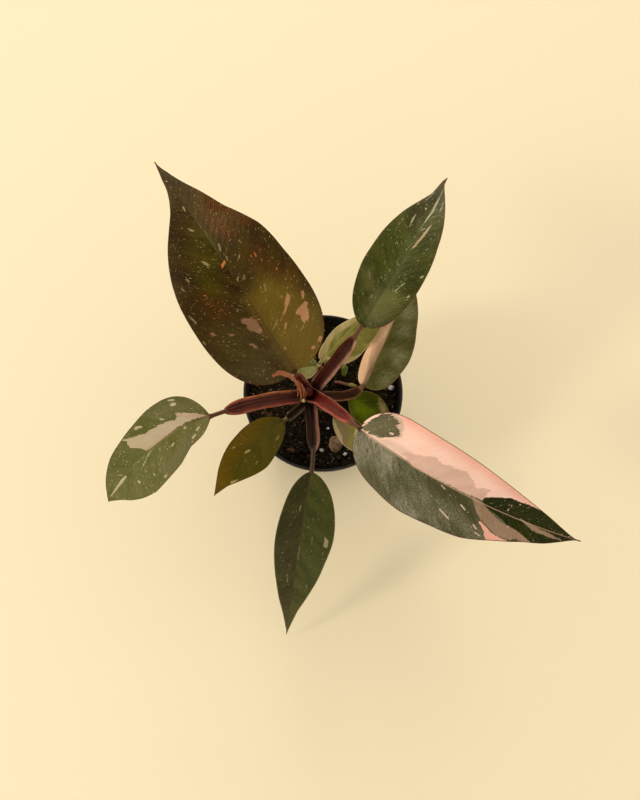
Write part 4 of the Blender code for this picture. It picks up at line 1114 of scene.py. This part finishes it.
def soil_shading(name, tints, scale):
    """Damp crumbs whose colour goes through the tints by their place."""
    s = new_shading(name)
    place = s.object_mm()
    fine = s.noise(place, scale * 6, 3, 0.7)
    tone = s.noise(place, scale, 4, 0.7) * 0.75 + fine * 0.25
    colour = s.mix(s.step(tone, 0.36, 0.50), tints[0], tints[1])
    colour = s.mix(s.step(tone, 0.56, 0.68), colour, tints[2])
    colour = s.mix(s.step(s.noise(s.shift(place, (31, 7, 3)), scale * 1.7, 2), 0.60, 0.70), colour, tints[3])
    return s.finish(
        fine, 0.0004, 0.8, Base_Color=colour, Roughness=fine * 0.3 + 0.62,
        Specular_IOR_Level=0.2, Specular_Tint=(1.0, 0.8, 0.5, 1))


def make_soil(material):
    """One closed mass whose top is rough, to fill the pot."""
    edge = wall_radius(SOIL_TOP) - WALL - SOIL_GAP
    profile = [(wall_radius(FLOOR) - WALL - SOIL_FOOT[0], FLOOR + SOIL_FOOT[1])]
    profile += [(edge * k / SOIL_RINGS, SOIL_TOP) for k in range(SOIL_RINGS, -1, -1)]
    points, faces = lathe(profile, SOIL_SIDES)
    points = [(x, y, soil_height(x, y) if z == SOIL_TOP else z) for x, y, z in points]
    faces.append(tuple(range(SOIL_SIDES)))
    solid("potting_mix", points, faces, ["soil"], "soil", material)


def grain_points(radii, seed, level, rough):
    """A rough grain about the origin."""
    shape = bmesh.new()
    bmesh.ops.create_icosphere(shape, subdivisions=level, radius=1)
    points = []
    for vertex in shape.verts:
        swell = 1 + rough * noise.noise(vertex.co * 1.6 + Vector((seed * 3.1, seed * 1.7, seed)))
        swell += rough * 0.5 * noise.noise(vertex.co * 4.3 + Vector((seed, seed * 2.3, seed * 1.1)))
        points.append([c * r * swell for c, r in zip(vertex.co, radii)])
    faces = [tuple(v.index for v in f.verts) for f in shape.faces]
    shape.free()
    return np.array(points), faces


def scatter(name, count, size, flatness, slot, material):
    """Many rough grains on the soil, joined into one piece."""
    reach = wall_radius(SOIL_TOP) - WALL - GRAIN_INSET
    shapes = [grain_points((1, 1, 1), seed, 1, 0.5) for seed in range(12)]
    bodies, faces = [], []
    while len(bodies) < count:
        radius = reach * math.sqrt(DRAW.random())
        turn = 2 * math.pi * DRAW.random()
        x, y = radius * math.cos(turn), radius * math.sin(turn)
        if math.hypot(x - STEM_FOOT[0], y - STEM_FOOT[1]) < STEM_RADIUS + 1:
            continue
        long = size[0] * (size[1] / size[0]) ** (DRAW.random() ** 1.6)
        base, base_faces = shapes[int(DRAW.integers(len(shapes)))]
        spin = Matrix.Rotation(2 * math.pi * DRAW.random(), 3, "Z")
        spin = spin @ Matrix.Rotation(0.5 * (DRAW.random() - 0.5), 3, "X")
        wide = 0.45 + 0.5 * DRAW.random()
        high = flatness * (0.7 + 0.5 * DRAW.random())
        body = base * (long * np.array([1, wide, high])) @ np.array(spin).T
        faces += [tuple(len(bodies) * len(base) + i for i in face) for face in base_faces]
        bodies.append(body + np.array([x, y, soil_height(x, y) + GRAIN_LIFT * long]))
    solid(name, np.concatenate(bodies), faces, [], slot, material)


def lay(name, points, faces, place, lift, replaced, slot, material):
    """A piece on the soil, its middle lifted above the surface."""
    x, y = place
    solid(name, points + np.array([x, y, soil_height(x, y) + lift]), faces, [replaced], slot, material)


def make_soil_pieces():
    soil = soil_shading("crumbs", SOIL_TINTS, 0.8)
    bark = soil_shading("bark", BARK_TINTS, 0.6)
    white = soil_shading("perlite", PERLITE_TINTS, 0.9)
    scatter("soil_crumbs", 1500, (0.5, 2.1), 0.7, "soil", soil)
    scatter("soil_bark", 150, (0.6, 2.2), 0.35, "bark", bark)
    scatter("soil_grit", 300, (0.15, 0.6), 0.8, "perlite", white)
    scatter("soil_flakes", 520, (0.2, 0.95), 0.4, "bark", soil_shading("flakes", FLAKE_TINTS, 1.2))
    for k, (x, y, size) in enumerate(WHITE_GRAINS, 1):
        points, faces = grain_points((size, size * 0.85, size * 0.8), k, 3, 0.35)
        lay("perlite_grain_%d" % k, points, faces, (x, y), size * 0.45, "perlite_%d" % k, "perlite", white)
    for k, (x, y, size) in enumerate(BARK_CHIPS, 1):
        points, faces = grain_points((size, size * 0.5, size * 0.35), 20 + k, 3, 0.45)
        lay("bark_piece_%d" % k, points, faces, (x, y), size * 0.25, "bark_chip_%d" % k, "bark", bark)
    points, faces = grain_points((4.4, 5.3, 3.0), 3, 5, 0.18)
    crack = points[:, 0] * 0.62 + points[:, 1] * 0.78 + 0.35 * np.sin(points[:, 0] * 1.9)
    points *= (1 - 0.24 * np.exp(-(crack / 0.38) ** 2) * (points[:, 2] > 0))[:, None]
    nugget = soil_shading("round bark", NUGGET_TINTS, 0.5)
    lay("bark_round", points, faces, BARK_NUGGET, 2.4, "bark_nugget", "bark", nugget)


# Stem and new growth

# The middle of the dried sheath, and of the torn strips of it that hang over the stem's head, with each
# strip's half-widths.
DRIED_SHEATH = (
    (-15.2, -5.7, 141), (-16.4, -4.7, 150), (-20, -2.5, 158), (-25.5, -2, 163.5), (-30.5, -4.5, 163),
)
SHREDS = (
    (((-14.6, -5, 141), (-14, -7.2, 134), (-13.4, -9.6, 126), (-14, -12.4, 119)), (1.1, 1.4, 0.9, 0.15)),
    (((-15.8, -4, 146), (-13.1, -4.8, 137), (-11.4, -6.2, 129), (-10.2, -8.8, 122)), (0.9, 1.2, 0.9, 0.15)),
    (((-15, -4.6, 143), (-15.6, -7, 135), (-15.4, -8.6, 130), (-16, -10.6, 126)), (0.7, 0.9, 0.6, 0.15)),
    (((-13.8, -4.4, 142), (-12.2, -6, 133), (-12.2, -9, 126), (-11.8, -11, 122)), (0.6, 0.8, 0.5, 0.15)),
)
BUD_AZIMUTH = -130
BUD_HEIGHT = 107.0
SPROUT = (14.0, 11.5)
SIDE_SHOOT = (8.0, 8.5)
GAP = 0.3                 # what the CAD leaves between the soil and what stands on it


def plant_shading(name, low, high, accent, roughness, along_scale=(1.2, 1.2, 0.15)):
    """Living tissue streaked along its length."""
    s = new_shading(name)
    place = s.object_mm()
    streak = s.noise(s.stretch(place, along_scale), 1, 4, 0.65)
    speck = s.noise(place, 1.4, 3, 0.7)
    colour = s.mix(s.step(streak, 0.34, 0.66), low, high)
    return s.finish(
        streak + speck * 0.4, 0.0004, 0.6,
        Base_Color=s.mix(s.step(speck, 0.58, 0.70) * 0.6, colour, accent), Roughness=speck * 0.15 + roughness,
        Subsurface_Weight=0.12, Subsurface_Radius=(1.0, 0.4, 0.2), Subsurface_Scale=MM)


def make_stem():
    """A short green-brown stem ringed by leaf scars, whose top the sheaths hide."""
    rows, sides = 90, 60
    points = []
    for height in np.linspace(SOIL_TOP, STEM_TOP, rows) - STEM_HIDDEN:
        axis, radius = stem_at(height)
        scars = share_of(height, SOIL_TOP, STEM_TOP) * 5
        scar = SCAR * math.exp(-((scars - round(scars)) / 0.12) ** 2)
        for turn in np.arange(sides) * 2 * math.pi / sides:
            rough = noise.noise(Vector((math.cos(turn) * 2, math.sin(turn) * 2, height / 5))) * 0.35
            reach = radius - 0.5 + scar + rough
            points.append((axis[0] + reach * math.cos(turn), axis[1] + reach * math.sin(turn), height))
    material = plant_shading("stem", (86, 66, 40), (116, 106, 62), (120, 70, 50), 0.55)
    solid("stem_short", points, ring_faces(rows, sides), ["stem"], "stem", material)


def make_new_growth():
    x, y = STEM_HEAD
    red = plant_shading("new leaf", (48, 8, 8), (88, 20, 18), (110, 44, 34), 0.2)
    roll = [(x, y, STEM_TOP - 9), (x, y, STEM_TOP - 1), (x - 0.2, y - 0.2, STEM_TOP + 5),
            (x - 0.9, y + 0.1, STEM_TOP + 11), (x - 2.0, y + 0.5, STEM_TOP + 17.5)]
    rolled = tube(roll, (2.4, 2.6, 2.5, 1.7, 0.2), 40, groove=0.28, twist=1.4)
    solid("rolled_leaf", *rolled, ["new_leaf_roll"], "new_leaf", red)
    out = direction(BUD_AZIMUTH, 0.0)
    foot = np.array([x, y, BUD_HEIGHT]) + out * (stem_at(BUD_HEIGHT)[1] + 0.6)
    bud = [foot + out * far + (0, 0, up) for far, up in ((0, 0), (0.5, 2.0), (0.8, 4.2), (0.8, 5.8))]
    pale = plant_shading("bud", (196, 176, 110), (224, 208, 156), (190, 120, 90), 0.35)
    solid("stem_bud", *tube(bud, (0.9, 1.15, 0.9, 0.2)), ["bud"], "bud", pale)
    paper = plant_shading("dried sheath", (108, 52, 20), (172, 98, 46), (218, 150, 88), 0.5, (2.2, 2.2, 0.5))
    curl = ribbon(DRIED_SHEATH, (1.5, 2.1, 2.8, 2.9, 1.6), 1.9)
    solid("sheath_curl", *curl, ["dried_sheath"], "dried", paper)
    for k, (path, widths) in enumerate(SHREDS, 1):
        solid("sheath_shred_%d" % k, *ribbon(path, widths, 0.9), [], "dried", paper)


def from_ground(place, lift, steps):
    """A path that starts at a place on the CAD soil's surface."""
    x, y = place
    ground = SOIL_TOP + soil_wave(x, y) + GAP + lift
    return [(x + a, y + b, ground + c) for a, b, c in steps]


def make_side_shoots():
    sprout = from_ground(SPROUT, 0, ((0, 0, 0), (0, 2.0, 2.6), (0.3, 5.5, 4.2), (0.5, 9, 4)))
    green = plant_shading("sprout", (92, 110, 8), (128, 142, 18), (156, 158, 50), 0.35)
    leaf = tube(sprout, (0.5, 1.7, 2.4, 0.2), squash=0.25)
    solid("sprout_leaf", *leaf, ["sprout"], "blade_bright", green)
    shoot = from_ground(SIDE_SHOOT, 1.0, ((0, 0, -0.6), (3, -0.6, 1.2), (6, -1.6, 1.6), (9, -2.2, 2.0)))
    orange = plant_shading("side shoot", (120, 66, 36), (158, 96, 56), (110, 50, 40), 0.45, (0.3, 1.4, 1.4))
    creeping = tube(shoot, (0.9, 1.1, 1.0, 0.95), groove=0.2, twist=0.4)
    solid("shoot_creeping", *creeping, ["side_shoot"], "shoot", orange)
    tip = np.array(shoot[-1])
    ahead = unit(tip - np.array(shoot[-2]))
    bud = [tip + ahead * k + (0, 0, 0.1 * k) for k in (0, 1.6, 3.4, 5.5)]
    lime = plant_shading("shoot bud", (140, 132, 40), (172, 158, 66), (196, 120, 60), 0.35)
    closed = tube(bud, (0.9, 1.55, 1.3, 0.2), groove=0.2, twist=0.6)
    solid("shoot_bud", *closed, ["side_shoot_bud"], "bud", lime)


# Stage, light and camera

ROOM_WALLS = 2.35
ROOM_CEILING = 0.06
ROOM_BEHIND = 0.5         # how much brighter the wall behind is, and how much dimmer the one in front
FLOOR_REACH = 9           # metres, as is the next
AIM_HEIGHT = 0.1          # of the plant's middle, where the lamps point


def make_floor():
    mesh = bpy.data.meshes.new("floor")
    corners = [(x * FLOOR_REACH, y * FLOOR_REACH, 0) for x, y in ((-1, -1), (1, -1), (1, 1), (-1, 1))]
    mesh.from_pydata(corners, [], [(0, 1, 2, 3)])
    floor = bpy.data.objects.new("floor", mesh)
    bpy.context.collection.objects.link(floor)
    mesh.materials.append(new_shading("floor").finish(Base_Color=srgb((250, 231, 188)), Roughness=0.85))


def area_light(name, heading, height, distance, size, power, colour):
    """A soft lamp aimed at the plant, its heading and height in degrees, distance and size in metres."""
    lamp = bpy.data.lights.new(name, "AREA")
    lamp.shape = "DISK"
    lamp.size = size
    lamp.energy = power
    lamp.color = colour
    piece = bpy.data.objects.new(name, lamp)
    bpy.context.collection.objects.link(piece)
    away = Vector(direction(heading, height).tolist())
    piece.location = Vector((0, 0, AIM_HEIGHT)) + away * distance
    piece.rotation_euler = away.to_track_quat("Z", "Y").to_euler()


def make_lights():
    """Two soft lamps in a room that is dim overhead and brightest at the wall behind the plant."""
    area_light("key", 194, 36, 1.6, 0.34, 6, (1.0, 0.97, 0.92))
    area_light("window", 98, 26, 1.6, 0.50, 5, (1.0, 0.98, 0.97))
    s = Shading(bpy.data.worlds.new("studio"), "Background")
    y, z = s.parts(s.node("TexCoord", output="Generated"))[1:]
    level = s.node("MapRange", {"Value": z, "To Min": ROOM_WALLS, "To Max": ROOM_CEILING})
    level = level * (y * ROOM_BEHIND + 1.0)
    bpy.context.scene.world = s.finish(Color=(1.0, 0.985, 0.95, 1), Strength=level)
    bpy.context.scene.view_settings.view_transform = "Standard"


def make_camera():
    lens = bpy.data.cameras.new("camera")
    lens.sensor_fit = "AUTO"
    lens.sensor_width = SENSOR
    lens.lens = FOCAL_PX / IMAGE_HEIGHT * SENSOR
    lens.clip_start = 0.01
    camera = bpy.data.objects.new("camera", lens)
    camera.location = [c * MM for c in CAMERA_PLACE]
    camera.rotation_euler = (math.radians(CAMERA_TILT), 0, 0)
    bpy.context.collection.objects.link(camera)
    bpy.context.scene.camera = camera


make_pot()
make_soil(soil_shading("potting mix", SOIL_TINTS, 0.35))
make_soil_pieces()
make_stem()
for leaf in LEAVES:
    make_blade(leaf, blade_shading(leaf.name, LOOKS[leaf.name]))
for petiole in PETIOLES:
    make_petiole(petiole)
make_new_growth()
make_side_shoots()
make_floor()
make_lights()
make_camera()
